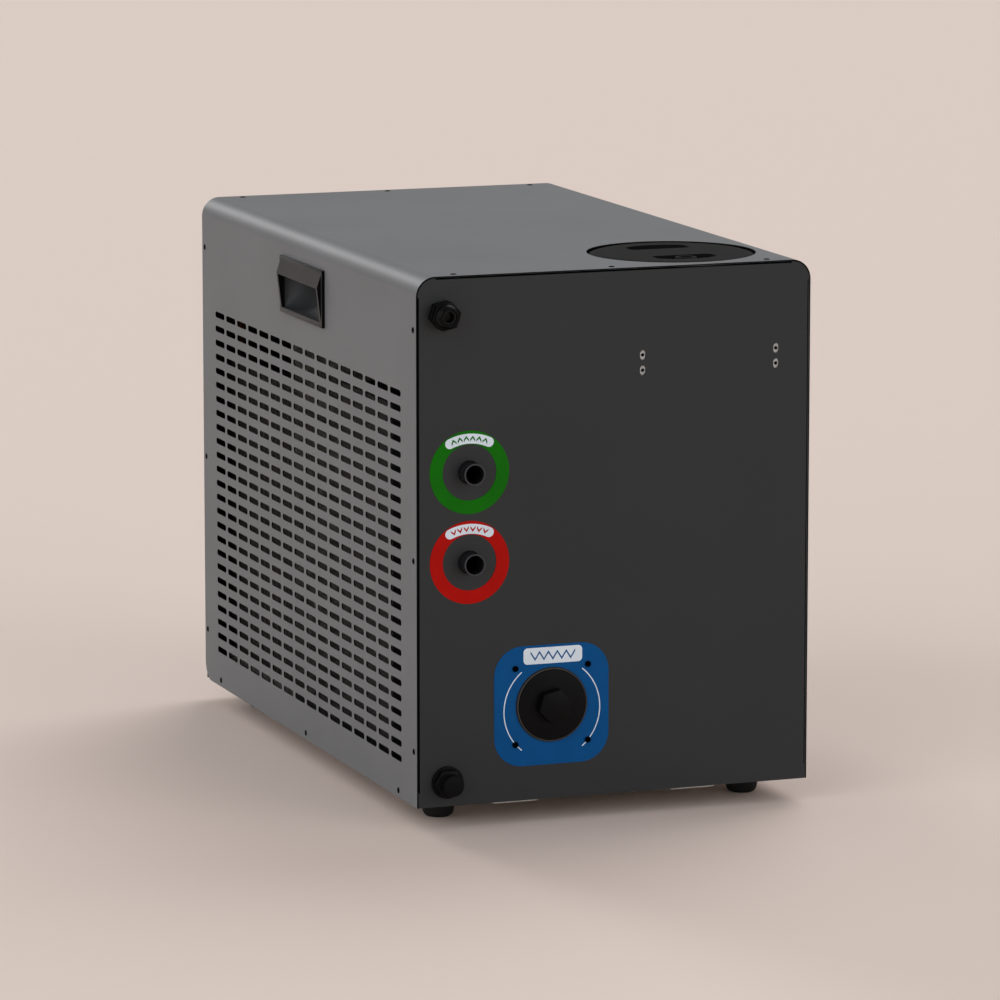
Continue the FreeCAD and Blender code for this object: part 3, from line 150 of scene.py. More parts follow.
# Folded cover
# One sheet, 1.2 mm thick, folded over both sides and the top with 18 mm bends. The left side is punched
# with an even field of round-ended slots, and the right side with a smaller field of longer ones. The
# coat is grey, and its cut edges are painted near black: painted shade in the slots, holes and edges.
def powder_coat(name, code, roughness, specular):
    """Polyester powder coat, baked on zinc-plated sheet.

    Its fine orange peel breaks up the gloss, so broad faces look even and slightly silky, and bends carry
    a soft bright line. The real peel is about 0.4 mm across and is drawn coarser, so that it shows at
    this distance. The coat's own unevenness is about a hand wide.
    """
    peel_mm = 1.6
    uneven_mm = 111
    material = new_material(name)
    tree = material.node_tree
    where = put(tree, "ShaderNodeTexCoord")
    peel = put(tree, "ShaderNodeTexNoise", {"Vector": where.outputs["Object"], "Scale": 1000 / peel_mm,
                                            "Detail": 2.0})
    cloud = put(tree, "ShaderNodeTexNoise", {"Vector": where.outputs["Object"], "Scale": 1000 / uneven_mm,
                                             "Detail": 3.0})
    tone = put(tree, "ShaderNodeMapRange", {"Value": cloud.outputs[0], "From Min": 0.3, "From Max": 0.7,
                                            "To Min": 0.96, "To Max": 1.04})
    colour = put(tree, "ShaderNodeVectorMath", {0: linear(code)[:3], "Scale": tone.outputs[0]},
                 operation="SCALE")
    gloss = put(tree, "ShaderNodeMapRange", {"Value": peel.outputs[0], "To Min": roughness - 0.05,
                                             "To Max": roughness + 0.05})
    bump = put(tree, "ShaderNodeBump", {"Height": peel.outputs[0], "Strength": 0.12, "Distance": 0.0002})
    coat = put(tree, "ShaderNodeBsdfPrincipled", {
        "Base Color": colour.outputs[0], "Roughness": gloss.outputs[0], "IOR": 1.5,
        "Specular IOR Level": specular, "Normal": bump.outputs[0]})
    put(tree, "ShaderNodeOutputMaterial", {"Surface": coat.outputs[0]})
    return material


# Painted shade: the cut edges of the sheet are coloured near black for the shade in the slots and holes.
cut_edge_shade = powder_coat("painted_shade_on_cut_edges", "#0a0a0a", 0.7, 0.05)
cover_coat = powder_coat("grey_powder_coat", "#757779", 0.5, 0.15)

mm = 0.001
half_width = 190 * mm
sheet = 1.2 * mm
bend = 18 * mm
rear_corner = 18.5 * mm
front_y = -308 * mm
rear_y = 330 * mm
middle_y = (front_y + rear_y) / 2
low_z = 21 * mm
top_z = 503 * mm
bend_steps = 20
corner_steps = 12
hole_steps = 128
lid_centre = Vector((89.5 * mm, front_y + 90.5 * mm))
lid_hole = 77.7 * mm
handle_half = 59 * mm
handle_low = low_z + 406.7 * mm
handle_high = low_z + 453.3 * mm
slot_columns = 16
slot_rows = 25
slot_pitch = (35 * mm, 13.95 * mm)
slot_size = (29.3 * mm, 5.9 * mm)
top_slot_z = low_z + 371.8 * mm
fan_columns = 3
fan_rows = 11
fan_pitch = (70 * mm, 13.95 * mm)
fan_slot_size = (64 * mm, 5.9 * mm)
fan_centre = (199 * mm, 201 * mm)


def punched_sheet_tree():
    """A flat outline, punched with a field of slots and given its thickness."""
    tree = bpy.data.node_groups.new("punched_sheet", "GeometryNodeTree")
    tree.interface.new_socket("Geometry", in_out="INPUT", socket_type="NodeSocketGeometry")
    tree.interface.new_socket("Geometry", in_out="OUTPUT", socket_type="NodeSocketGeometry")
    for name in ("Columns", "Rows"):
        tree.interface.new_socket(name, in_out="INPUT", socket_type="NodeSocketInt")
    for name in ("Field length", "Field height", "Slot length", "Slot height", "Sheet"):
        tree.interface.new_socket(name, in_out="INPUT", socket_type="NodeSocketFloat")
    tree.interface.new_socket("Field centre", in_out="INPUT", socket_type="NodeSocketVector")
    tree.interface.new_socket("Material", in_out="INPUT", socket_type="NodeSocketMaterial")
    given = put(tree, "NodeGroupInput").outputs
    grid = put(tree, "GeometryNodeMeshGrid", {
        "Size X": given["Field length"], "Size Y": given["Field height"],
        "Vertices X": given["Columns"], "Vertices Y": given["Rows"]})
    field = put(tree, "GeometryNodeTransform", {"Geometry": grid.outputs[0],
                                                "Translation": given["Field centre"]})
    oblong = put(tree, "GeometryNodeCurvePrimitiveQuadrilateral", {
        "Width": given["Slot length"], "Height": given["Slot height"]})
    corner = put(tree, "ShaderNodeMath", {0: given["Slot height"], 1: 0.499}, operation="MULTIPLY")
    slot = put(tree, "GeometryNodeFilletCurve", {"Curve": oblong.outputs[0], "Count": 5,
                                                 "Radius": corner.outputs[0]}, mode="POLY")
    slots = put(tree, "GeometryNodeInstanceOnPoints", {"Points": field.outputs[0],
                                                       "Instance": slot.outputs[0]})
    real = put(tree, "GeometryNodeRealizeInstances", {0: slots.outputs[0]})
    joined = put(tree, "GeometryNodeJoinGeometry")
    tree.links.new(real.outputs[0], joined.inputs[0])
    tree.links.new(given["Geometry"], joined.inputs[0])
    face = put(tree, "GeometryNodeFillCurve", {0: joined.outputs[0]}, mode="TRIANGLES")
    raised = put(tree, "GeometryNodeExtrudeMesh", {"Mesh": face.outputs[0], "Offset Scale": given["Sheet"],
                                                   "Individual": False}, mode="FACES")
    back = put(tree, "GeometryNodeFlipFaces", {0: face.outputs[0]})
    shell = put(tree, "GeometryNodeJoinGeometry")
    tree.links.new(back.outputs[0], shell.inputs[0])
    tree.links.new(raised.outputs[0], shell.inputs[0])
    whole = put(tree, "GeometryNodeMergeByDistance", {0: shell.outputs[0], "Distance": 1e-6})
    ready = put(tree, "GeometryNodeRealizeInstances", {0: whole.outputs[0]})
    painted = put(tree, "GeometryNodeSetMaterial", {"Geometry": ready.outputs[0],
                                                    "Material": given["Material"]})
    put(tree, "NodeGroupOutput", {0: painted.outputs[0]})
    return tree


punched_sheet = punched_sheet_tree()


def run_tree(name, source, tree, values):
    """Runs a node tree on an object and gives the result as a plain mesh."""
    made = bpy.data.objects.new(name, source)
    bpy.context.collection.objects.link(made)
    modifier = made.modifiers.new(name, "NODES")
    modifier.node_group = tree
    for item in tree.interface.items_tree:
        if item.in_out == "INPUT" and item.name in values:
            modifier[item.identifier] = values[item.name]
    ready = made.evaluated_get(bpy.context.evaluated_depsgraph_get())
    mesh = bpy.data.meshes.new_from_object(ready)
    made.modifiers.remove(modifier)
    bpy.data.objects.remove(made)
    return mesh


def flat_outline(name, loops):
    """A curve in the XY plane with one closed straight-sided loop for each list of points."""
    curve = bpy.data.curves.new(name, "CURVE")
    curve.dimensions = "3D"
    for points in loops:
        spline = curve.splines.new("POLY")
        spline.points.add(len(points) - 1)
        for point, (x, y) in zip(spline.points, points):
            point.co = (x, y, 0, 1)
        spline.use_cyclic_u = True
    return curve


def arc(centre, radius, start, end, steps):
    """Points on an arc, with the angles in degrees."""
    points = []
    for i in range(steps + 1):
        angle = math.radians(start + (end - start) * i / steps)
        points.append((centre[0] + radius * math.cos(angle), centre[1] + radius * math.sin(angle)))
    return points


def punched(name, loops, to_place, columns=0, rows=0, pitch=(0, 0), slot=(0, 0), centre=(0, 0)):
    mesh = run_tree(name, flat_outline(name, loops), punched_sheet, {
        "Columns": columns, "Rows": rows, "Field length": max(columns - 1, 0) * pitch[0],
        "Field height": max(rows - 1, 0) * pitch[1], "Slot length": slot[0], "Slot height": slot[1],
        "Field centre": (centre[0], centre[1], 0), "Sheet": sheet, "Material": cover_coat})
    mesh.transform(to_place)
    return mesh


along_y = Matrix(((0, 0, 1, 0), (1, 0, 0, 0), (0, 1, 0, 0), (0, 0, 0, 1)))
side_high = top_z - bend
side_outline = [(rear_y, side_high), (front_y, side_high), (front_y, low_z)]
side_outline += arc((rear_y - rear_corner, low_z + rear_corner), rear_corner, -90, 0, corner_steps)
handle_hole = [(middle_y - handle_half, handle_low), (middle_y + handle_half, handle_low),
               (middle_y + handle_half, handle_high), (middle_y - handle_half, handle_high)]
field_centre = (middle_y, top_slot_z - (slot_rows - 1) / 2 * slot_pitch[1])
left_side = punched("left_side", [side_outline, handle_hole],
                    Matrix.Translation((-half_width, 0, 0)) @ along_y,
                    slot_columns, slot_rows, slot_pitch, slot_size, field_centre)
right_side = punched("right_side", [side_outline, handle_hole],
                     Matrix.Translation((half_width - sheet, 0, 0)) @ along_y,
                     fan_columns, fan_rows, fan_pitch, fan_slot_size, fan_centre)
flat_half = half_width - bend
top_outline = [(-flat_half, front_y), (flat_half, front_y), (flat_half, rear_y), (-flat_half, rear_y)]
top_hole = arc(lid_centre, lid_hole, 0, 360 - 360 / hole_steps, hole_steps - 1)
top_sheet = punched("top_sheet", [top_outline, top_hole], Matrix.Translation((0, 0, top_z - sheet)))


def cover_mesh():
    bm = bmesh.new()
    for mesh in (left_side, right_side, top_sheet):
        bm.from_mesh(mesh)
    for side in (-1, 1):
        rings = []
        for radius in (bend, bend - sheet):
            points = arc((0, side_high), radius, 0, 90, bend_steps)
            for y in (front_y, rear_y):
                rings.append([bm.verts.new((side * (flat_half + x), y, z)) for x, z in points])
        outer_front, outer_rear, inner_front, inner_rear = rings
        for i in range(bend_steps):
            for a, b in ((outer_front, outer_rear), (inner_rear, inner_front), (outer_rear, inner_rear),
                         (inner_front, outer_front)):
                bm.faces.new((a[i], a[i + 1], b[i + 1], b[i]))
    bmesh.ops.remove_doubles(bm, verts=bm.verts, dist=2e-6)
    near = 1e-6
    inside = []
    for face in bm.faces:
        at_side = all(abs(v.co.z - side_high) < near for v in face.verts)
        at_top = all(abs(abs(v.co.x) - flat_half) < near and v.co.z > side_high for v in face.verts)
        if at_side or at_top:
            inside.append(face)
    bmesh.ops.delete(bm, geom=inside, context="FACES")
    bmesh.ops.recalc_face_normals(bm, faces=bm.faces)
    # Faces one sheet thick are the cut edges; they take the painted shade.
    for face in bm.faces:
        thick = any(abs(edge.calc_length() - sheet) < near for edge in face.edges)
        face.material_index = int(thick and len(face.verts) == 4)
    mesh = bpy.data.meshes.new("folded_cover")
    bm.to_mesh(mesh)
    bm.free()
    return mesh


sharp_angle = math.radians(32)


def piece(name, mesh, material, body, slot, *nodes, second=None):
    """Puts a finished mesh on its body, in place of the nodes that it shows."""
    mesh.shade_smooth()
    mesh.set_sharp_from_angle(angle=sharp_angle)
    marks = [polygon.material_index for polygon in mesh.polygons]
    mesh.materials.clear()
    mesh.materials.append(material)
    if second:
        mesh.materials.append(second)
        mesh.polygons.foreach_set("material_index", marks)
    made = bpy.data.objects.new(name, mesh)
    bpy.context.collection.objects.link(made)
    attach(made, body)
    if nodes:
        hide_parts(*nodes)
    return made


piece("folded_cover", cover_mesh(), cover_coat, "chassis", "cover_paint", "wrap_cover", second=cut_edge_shade)


# Front and rear panels
# Charcoal powder-coated sheet with flanges bent inwards along the sides and the top, which leaves a
# 2 mm groove round the edge of the plate.
def dress(material, *nodes):
    """Gives nodes that keep their own shape a finished material."""
    for node in nodes:
        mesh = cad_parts[node].data
        mesh.materials.clear()
        mesh.materials.append(material)


panel_coat = powder_coat("charcoal_powder_coat", "#2d2f30", 0.45, 0.25)
dress(panel_coat, "front_panel", "rear_panel")


# Base pan, rails and partition
# Galvanised sheet steel. The zinc crystals give a faint spangle of flat patches, a few millimetres
# across, each with its own brightness.
def galvanised_sheet(name, code, roughness, spangle_mm):
    material = new_material(name)
    tree = material.node_tree
    where = put(tree, "ShaderNodeTexCoord")
    crystals = put(tree, "ShaderNodeTexVoronoi", {"Vector": where.outputs["Object"],
                                                  "Scale": 1000 / spangle_mm})
    bright = put(tree, "ShaderNodeSeparateColor", {0: crystals.outputs["Color"]})
    tone = put(tree, "ShaderNodeMapRange", {"Value": bright.outputs[0], "To Min": 0.82, "To Max": 1.1})
    colour = put(tree, "ShaderNodeVectorMath", {0: linear(code)[:3], "Scale": tone.outputs[0]},
                 operation="SCALE")
    gloss = put(tree, "ShaderNodeMapRange", {"Value": bright.outputs[0], "To Min": roughness - 0.08,
                                             "To Max": roughness + 0.08})
    metal = put(tree, "ShaderNodeBsdfPrincipled", {
        "Base Color": colour.outputs[0], "Roughness": gloss.outputs[0], "Metallic": 1.0})
    put(tree, "ShaderNodeOutputMaterial", {"Surface": metal.outputs[0]})
    return material


galvanised = galvanised_sheet("galvanised_steel", "#d2d1cc", 0.55, 7)
zinc_plated = galvanised_sheet("bright_zinc_plate", "#a8aaac", 0.3, 1.5)
dress(galvanised, "base_pan", "base_rails", "partition", "condenser_stand", "motor_bracket")
dress(zinc_plated, "nut_strips", "foot_studs", "foot_nuts", "fan_shaft", "compressor_bolts")


# Tank, pump, filter housing and hoses
# The tank is moulded in natural polyethylene, the filter housing, the pump and the control box in grey
# ABS, and the hoses and seals in rubber. The evaporator is wrapped in black closed-cell foam.
def moulded(name, code, roughness, grain_mm, grain_height=0.1, specular=0.25):
    """Plastic or rubber with the fine grain of a spark-eroded mould.

    It has a soft sheen with no mirror, and rubber is duller, with a slight bloom that lifts its black.
    The real grain is about 0.1 mm across and is drawn coarser, so that it shows at this distance. The
    plastic's flow in the mould shows as a faint change of tone.
    """
    flow_mm = 25
    material = new_material(name)
    tree = material.node_tree
    where = put(tree, "ShaderNodeTexCoord")
    grain = put(tree, "ShaderNodeTexNoise", {"Vector": where.outputs["Object"], "Scale": 1000 / grain_mm,
                                             "Detail": 3.0})
    flow = put(tree, "ShaderNodeTexNoise", {"Vector": where.outputs["Object"], "Scale": 1000 / flow_mm,
                                            "Detail": 2.0})
    tone = put(tree, "ShaderNodeMapRange", {"Value": flow.outputs[0], "From Min": 0.3, "From Max": 0.7,
                                            "To Min": 0.92, "To Max": 1.08})
    colour = put(tree, "ShaderNodeVectorMath", {0: linear(code)[:3], "Scale": tone.outputs[0]},
                 operation="SCALE")
    gloss = put(tree, "ShaderNodeMapRange", {"Value": grain.outputs[0], "To Min": roughness - 0.07,
                                             "To Max": roughness + 0.07})
    bump = put(tree, "ShaderNodeBump", {"Height": grain.outputs[0], "Strength": grain_height,
                                        "Distance": 0.0002})
    body = put(tree, "ShaderNodeBsdfPrincipled", {
        "Base Color": colour.outputs[0], "Roughness": gloss.outputs[0], "IOR": 1.5,
        "Specular IOR Level": specular, "Normal": bump.outputs[0]})
    put(tree, "ShaderNodeOutputMaterial", {"Surface": body.outputs[0]})
    return material


black_nylon = moulded("black_nylon", "#080809", 0.42, 0.9, 0.1, 0.1)
foot_rubber = moulded("moulded_black_rubber", "#191919", 0.75, 1.5, 0.25)
foam_jacket = moulded("closed_cell_foam", "#141414", 0.95, 2.5, 0.6)
grey_abs = moulded("dark_grey_abs", "#2f2f30", 0.55, 1.2)
natural_polyethylene = moulded("natural_polyethylene", "#b9b8b2", 0.45, 2.0)
dress(black_nylon, "gland_locknut", "drain_backnut", "fan_rotor")
dress(foot_rubber, "compressor_mounts", "inlet_hose", "outlet_hose", "feed_hose", "filter_seal", "lid_seal",
      "drain_washer")
dress(foam_jacket, "evaporator")
dress(grey_abs, "filter_housing", "pump", "pump_motor", "control_box", "control_box_lid")
dress(natural_polyethylene, "tank")


# Compressor, condenser and copper pipes
# Copper tube, a black enamelled compressor and an aluminium fin block with black painted ends. The real
# fins stand about 2 mm apart and are drawn as coarser bands, so that the block still reads as upright
# lines through the slots. The bands are painted light and shade: near black in the gaps, dark grey on the
# fins.
black_enamel = moulded("black_enamel", "#0c0c0c", 0.28, 3.0, 0.04)
copper = galvanised_sheet("drawn_copper", "#b5704c", 0.35, 4)
dress(black_enamel, "compressor", "condenser_headers", "fan_motor", "fan_shroud")
dress(copper, "refrigerant_pipes", "filter_drier")


def fin_block():
    material = new_material("black_coated_aluminium_fins")
    tree = material.node_tree
    where = put(tree, "ShaderNodeTexCoord")
    band_mm = 12.57
    phase_per_unit = 20
    fins = put(tree, "ShaderNodeTexWave", {
        "Vector": where.outputs["Object"],
        "Scale": 2 * math.pi * 1000 / band_mm / phase_per_unit}, bands_direction="Y")
    # Painted light and shade: near black bands for the shade in the gaps, dark grey bands for light on the
    # fins.
    dark = put(tree, "ShaderNodeMix", {"Factor": fins.outputs["Fac"], 6: linear("#030303"),
                                       7: linear("#161616")}, data_type="RGBA")
    bump = put(tree, "ShaderNodeBump", {"Height": fins.outputs["Fac"], "Strength": 0.5, "Distance": 0.001})
    metal = put(tree, "ShaderNodeBsdfPrincipled", {
        "Base Color": dark.outputs[2], "Roughness": 0.6, "Metallic": 0.3, "Normal": bump.outputs[0]})
    put(tree, "ShaderNodeOutputMaterial", {"Surface": metal.outputs[0]})
    return material


dress(fin_block(), "condenser_core")


# Cable gland
# A nylon gland at the top left: a hexagonal body, a domed cap nut and a rubber sealing ring in its mouth.
# Like the other fittings it is moulded about one axis, with eased edges. The nylon is glossy and nearly
# black.
on_front = Matrix(((1, 0, 0, 0), (0, 0, -1, 0), (0, 1, 0, 0), (0, 0, 0, 1)))


def eased(points, radius, steps=3, closed=False):
    """Rounds the corners of a profile, apart from those on its axis."""
    made = []
    count = len(points)
    for i, point in enumerate(points):
        here = Vector(point)
        if not closed and i in (0, count - 1):
            made.append(tuple(here))
            continue
        back = Vector(points[i - 1]) - here
        ahead = Vector(points[(i + 1) % count]) - here
        reach = min(radius, back.length * 0.45, ahead.length * 0.45)
        start = here + back.normalized() * reach
        end = here + ahead.normalized() * reach
        for k in range(steps + 1):
            t = k / steps
            made.append(tuple(start * (1 - t) ** 2 + here * (2 * t * (1 - t)) + end * t ** 2))
    return made


def lathe(profile, place, closed=False, steps=96):
    """A skin turned about the Z axis and put in its place. Lengths are in millimetres."""
    bm = bmesh.new()
    rings = []
    for radius, height in profile:
        count = 1 if radius < 1e-6 else steps
        ring = []
        for i in range(count):
            angle = 2 * math.pi * i / steps
            x, y = radius * math.cos(angle), radius * math.sin(angle)
            ring.append(bm.verts.new((x * mm, y * mm, height * mm)))
        rings.append(ring)
    pairs = list(zip(rings, rings[1:]))
    if closed:
        pairs.append((rings[-1], rings[0]))
    for a, b in pairs:
        for i in range(steps):
            j = (i + 1) % steps
            loop = [a[i % len(a)], a[j % len(a)], b[j % len(b)], b[i % len(b)]]
            corners = list(dict.fromkeys(loop))
            if len(corners) > 2:
                bm.faces.new(corners)
    bmesh.ops.recalc_face_normals(bm, faces=bm.faces)
    bm.transform(place)
    mesh = bpy.data.meshes.new("lathe")
    bm.to_mesh(mesh)
    bm.free()
    return mesh


def hexagon(flats, low, high, turn, place, ease):
    """A hexagonal prism with eased edges."""
    bm = bmesh.new()
    reach = flats / math.sqrt(3)
    corners = []
    for i in range(6):
        angle = math.radians(turn + 60 * i)
        corners.append(bm.verts.new((reach * mm * math.cos(angle), reach * mm * math.sin(angle), low * mm)))
    base = bm.faces.new(corners)
    raised = bmesh.ops.extrude_face_region(bm, geom=[base])
    lifted = [v for v in raised["geom"] if isinstance(v, bmesh.types.BMVert)]
    bmesh.ops.translate(bm, verts=lifted, vec=(0, 0, (high - low) * mm))
    bmesh.ops.recalc_face_normals(bm, faces=bm.faces)
    bmesh.ops.bevel(bm, geom=list(bm.edges), offset=ease * mm, segments=3, profile=0.5, affect="EDGES")
    bm.transform(place)
    mesh = bpy.data.meshes.new("hexagon")
    bm.to_mesh(mesh)
    bm.free()
    return mesh


def joined(*meshes):
    bm = bmesh.new()
    for mesh in meshes:
        bm.from_mesh(mesh)
    mesh = bpy.data.meshes.new("joined")
    bm.to_mesh(mesh)
    bm.free()
    return mesh


def on_panel(x, z):
    """Places a shape on the front panel, x from the middle and z above the casing's lower edge."""
    return Matrix.Translation((x * mm, front_y, low_z + z * mm)) @ on_front


gland_nylon = moulded("glossy_black_nylon", "#030303", 0.3, 0.9, 0.05, 0.1)
gland = on_panel(-165.5, 447.7)
gland_turn = 12
piece("gland_body", hexagon(24, 0, 5.5, gland_turn, gland, 0.7), gland_nylon, "chassis", "black_plastic",
      "gland_body")
gland_dome = eased([(8.0, 12.0), (10.8, 12.0), (11.6, 14.6), (11.2, 17.4), (9.6, 20.4), (8.2, 21.9),
                    (6.6, 21.9), (6.6, 18.0), (8.0, 17.0)], 0.8, closed=True)
gland_cap = joined(hexagon(24, 5.8, 14.8, gland_turn, gland, 0.7), lathe(gland_dome, gland, closed=True))
piece("gland_cap_nut", gland_cap, gland_nylon, "chassis", "black_plastic", "gland_nut")
gland_ring = eased([(5.0, 15.0), (6.5, 15.0), (6.5, 20.4), (5.6, 20.8), (5.0, 20.2)], 0.4, closed=True)
piece("gland_sealing_ring", lathe(gland_ring, gland, closed=True), foot_rubber, "chassis", "rubber",
      "gland_insert")


# Water stubs
# Two cut lengths of black polyethylene pipe, 20 mm outside and 17 mm inside, stand out of the panel. The
# rim is slightly chamfered and rougher than the wall, and painted a paler grey as a highlight.
pipe_plastic = moulded("black_polyethylene_pipe", "#1b1b1e", 0.45, 2.0, 0.1, 0.1)
# Painted highlight: the cut rim of each pipe is coloured paler grey for the light along it.
pipe_rim_highlight = moulded("painted_pipe_rim_highlight", "#46464a", 0.6, 0.6, 0.3, 0.1)
stub_x = -139.7
stub_heights = {"outlet": 304.2, "inlet": 222.3}
stub_profile = eased([(8.5, -26), (8.5, 14.9), (9.0, 15.5), (9.5, 15.5), (10, 14.8), (10, -26)], 0.15, 2,
                     closed=True)
rim_y = front_y - 14.8 * mm
for name, height in stub_heights.items():
    pipe = lathe(stub_profile, on_panel(stub_x, height), closed=True, steps=72)
    # Faces in front of the rim's plane take the painted highlight.
    for polygon in pipe.polygons:
        polygon.material_index = int(polygon.center.y < rim_y)
    piece(name + "_pipe", pipe, pipe_plastic, "chassis", "grey_pipe", name + "_stub", second=pipe_rim_highlight)


# Ring labels and filter label
# Screen-printed polycarbonate film, 0.4 mm thick, stuck to the panel. The colour is printed behind a
# matt face, so it stays even, with a soft edge of light along the cut.
def printed_film(name, code):
    mottle_mm = 16.7
    grain_mm = 1.11
    material = new_material(name)
    tree = material.node_tree
    where = put(tree, "ShaderNodeTexCoord")
    mottle = put(tree, "ShaderNodeTexNoise", {"Vector": where.outputs["Object"], "Scale": 1000 / mottle_mm,
                                              "Detail": 2.0})
    tone = put(tree, "ShaderNodeMapRange", {"Value": mottle.outputs[0], "From Min": 0.3, "From Max": 0.7,
                                            "To Min": 0.95, "To Max": 1.05})
    colour = put(tree, "ShaderNodeVectorMath", {0: linear(code)[:3], "Scale": tone.outputs[0]},
                 operation="SCALE")
    grain = put(tree, "ShaderNodeTexNoise", {"Vector": where.outputs["Object"], "Scale": 1000 / grain_mm})
    bump = put(tree, "ShaderNodeBump", {"Height": grain.outputs[0], "Strength": 0.05, "Distance": 0.0001})
    film = put(tree, "ShaderNodeBsdfPrincipled", {
        "Base Color": colour.outputs[0], "Roughness": 0.35, "IOR": 1.55, "Specular IOR Level": 0.08,
        "Normal": bump.outputs[0]})
    put(tree, "ShaderNodeOutputMaterial", {"Surface": film.outputs[0]})
    return material


green_film = printed_film("green_printed_film", "#0c6e00")
red_film = printed_film("red_printed_film", "#b20800")
blue_film = printed_film("blue_printed_film", "#01508c")
white_print = printed_film("white_print", "#e2eef8")
film_mm = 0.4
print_mm = 0.06


def plate(outline, low, high, place):
    """A flat plate with one outline, given in millimetres."""
    bm = bmesh.new()
    base = bm.faces.new([bm.verts.new((x * mm, y * mm, low * mm)) for x, y in outline])
    raised = bmesh.ops.extrude_face_region(bm, geom=[base])
    lifted = [v for v in raised["geom"] if isinstance(v, bmesh.types.BMVert)]
    bmesh.ops.translate(bm, verts=lifted, vec=(0, 0, (high - low) * mm))
    bmesh.ops.recalc_face_normals(bm, faces=bm.faces)
    bm.transform(place)
    mesh = bpy.data.meshes.new("plate")
    bm.to_mesh(mesh)
    bm.free()
    return mesh


def band(centre, radius, half_width, start, end, steps=32):
    """The outline of a curved band with round ends."""
    outline = arc(centre, radius + half_width, start, end, steps)
    for angle, turn in ((end, 0), (start, 180)):
        middle = (centre[0] + radius * math.cos(math.radians(angle)),
                  centre[1] + radius * math.sin(math.radians(angle)))
        outline += arc(middle, half_width, angle + turn, angle + turn + 180, 10)[1:-1]
        if not turn:
            outline += arc(centre, radius - half_width, end, start, steps)
    return outline


ring_films = {"outlet": (green_film, "green_label"), "inlet": (red_film, "red_label")}
pill_middle = (0, -14.4)
pill_radius = 45.0
pill_half = 4.5
pill_reach = 24.4
for name, height in stub_heights.items():
    film, film_slot = ring_films[name]
    place = on_panel(stub_x, height)
    ring = eased([(25.5, 0), (25.5, film_mm), (37.8, film_mm), (37.8, 0)], 0.08, 1, closed=True)
    piece(name + "_ring_label", lathe(ring, place, closed=True, steps=128), film, "chassis", film_slot,
          name + "_label")
    pill = band(pill_middle, pill_radius, pill_half, 90 - pill_reach, 90 + pill_reach)
    piece(name + "_white_band", plate(pill, film_mm, film_mm + print_mm, place), white_print, "chassis",
          film_slot)

# Chevrons stand for the direction of the water: out of the casing and into it.
chevron_half = 2.4
chevron_stroke = 2.2
chevron_rises = {"outlet": 3.2, "inlet": -3.2}
for name, height in stub_heights.items():
    rise = chevron_rises[name]
    heads = []
    for turn in (-19.5, -11.7, -3.9, 3.9, 11.7, 19.5):
        out = Vector((math.sin(math.radians(turn)), math.cos(math.radians(turn))))
        across = Vector((-out.y, out.x))
        middle = Vector(pill_middle) + out * pill_radius
        points = []
        for level in (chevron_stroke / 2, -chevron_stroke / 2):
            row = [middle + across * side * chevron_half + out * (level + rise * (0.5 - abs(side)))
                   for side in (-1, 0, 1)]
            points += row if level > 0 else row[::-1]
        heads.append(plate([tuple(p) for p in points], film_mm + print_mm, film_mm + 2 * print_mm,
                           on_panel(stub_x, height)))
    film, film_slot = ring_films[name]
    piece(name + "_chevrons", joined(*heads), film, "chassis", film_slot)


def round_square(half_x, half_z, corner, steps=12):
    outline = []
    for sx, sz, start in ((1, 1, 0), (-1, 1, 90), (-1, -1, 180), (1, -1, 270)):
        outline += arc((sx * (half_x - corner), sz * (half_z - corner)), corner, start, start + 90, steps)
    return outline


label_x = -61
label_z = 87
label_half = 55.25
label_corner = 27
label_hole_radius = 34.5
label_hole_steps = 144
label_place = on_panel(label_x, label_z)
label_square = [(x * mm, y * mm) for x, y in round_square(label_half, label_half, label_corner)]
label_hole = [(x * mm, y * mm) for x, y in arc((0, 0), label_hole_radius, 0, 360 - 360 / label_hole_steps,
                                               label_hole_steps - 1)]
label_outline = flat_outline("filter_label", [label_square, label_hole])
label_mesh = run_tree("filter_label", label_outline, punched_sheet, {
    "Columns": 0, "Rows": 0, "Field length": 0.0, "Field height": 0.0, "Slot length": 0.0,
    "Slot height": 0.0, "Field centre": (0, 0, 0), "Sheet": film_mm * mm, "Material": blue_film})
label_mesh.transform(label_place)
piece("filter_square_label", label_mesh, blue_film, "chassis", "blue_label", "filter_label")
arc_middle = (0.4, -4.6)
arc_radius = 46.3
arc_half = 0.48
arc_reach = 50.5
prints = [plate(band(arc_middle, arc_radius, arc_half, middle - arc_reach, middle + arc_reach), film_mm,
                film_mm + print_mm, label_place) for middle in (0, 180)]
sign_x = 1.2
sign_z = 45.5
word_plate = [(x + sign_x, y + sign_z) for x, y in round_square(28.3, 7.5, 3.8, 6)]
prints.append(plate(word_plate, film_mm, film_mm + print_mm, label_place))
piece("filter_white_print", joined(*prints), white_print, "chassis", "blue_label")

# A folded line stands for the pleated paper of the cartridge.
fold_count = 10
fold_pitch = 4.3
fold_rise = 3.4
fold_stroke = 1.15
strip = []
for side in (1, -1):
    row = []
    for i in range(fold_count + 1):
        x = (i - fold_count / 2) * fold_pitch
        row.append((x + sign_x, sign_z + fold_rise * (-1) ** i + side * fold_stroke))
    strip += row[::side]
piece("filter_fold_sign", plate(strip, film_mm + print_mm, film_mm + 2 * print_mm, label_place), blue_film,
      "chassis", "blue_label")


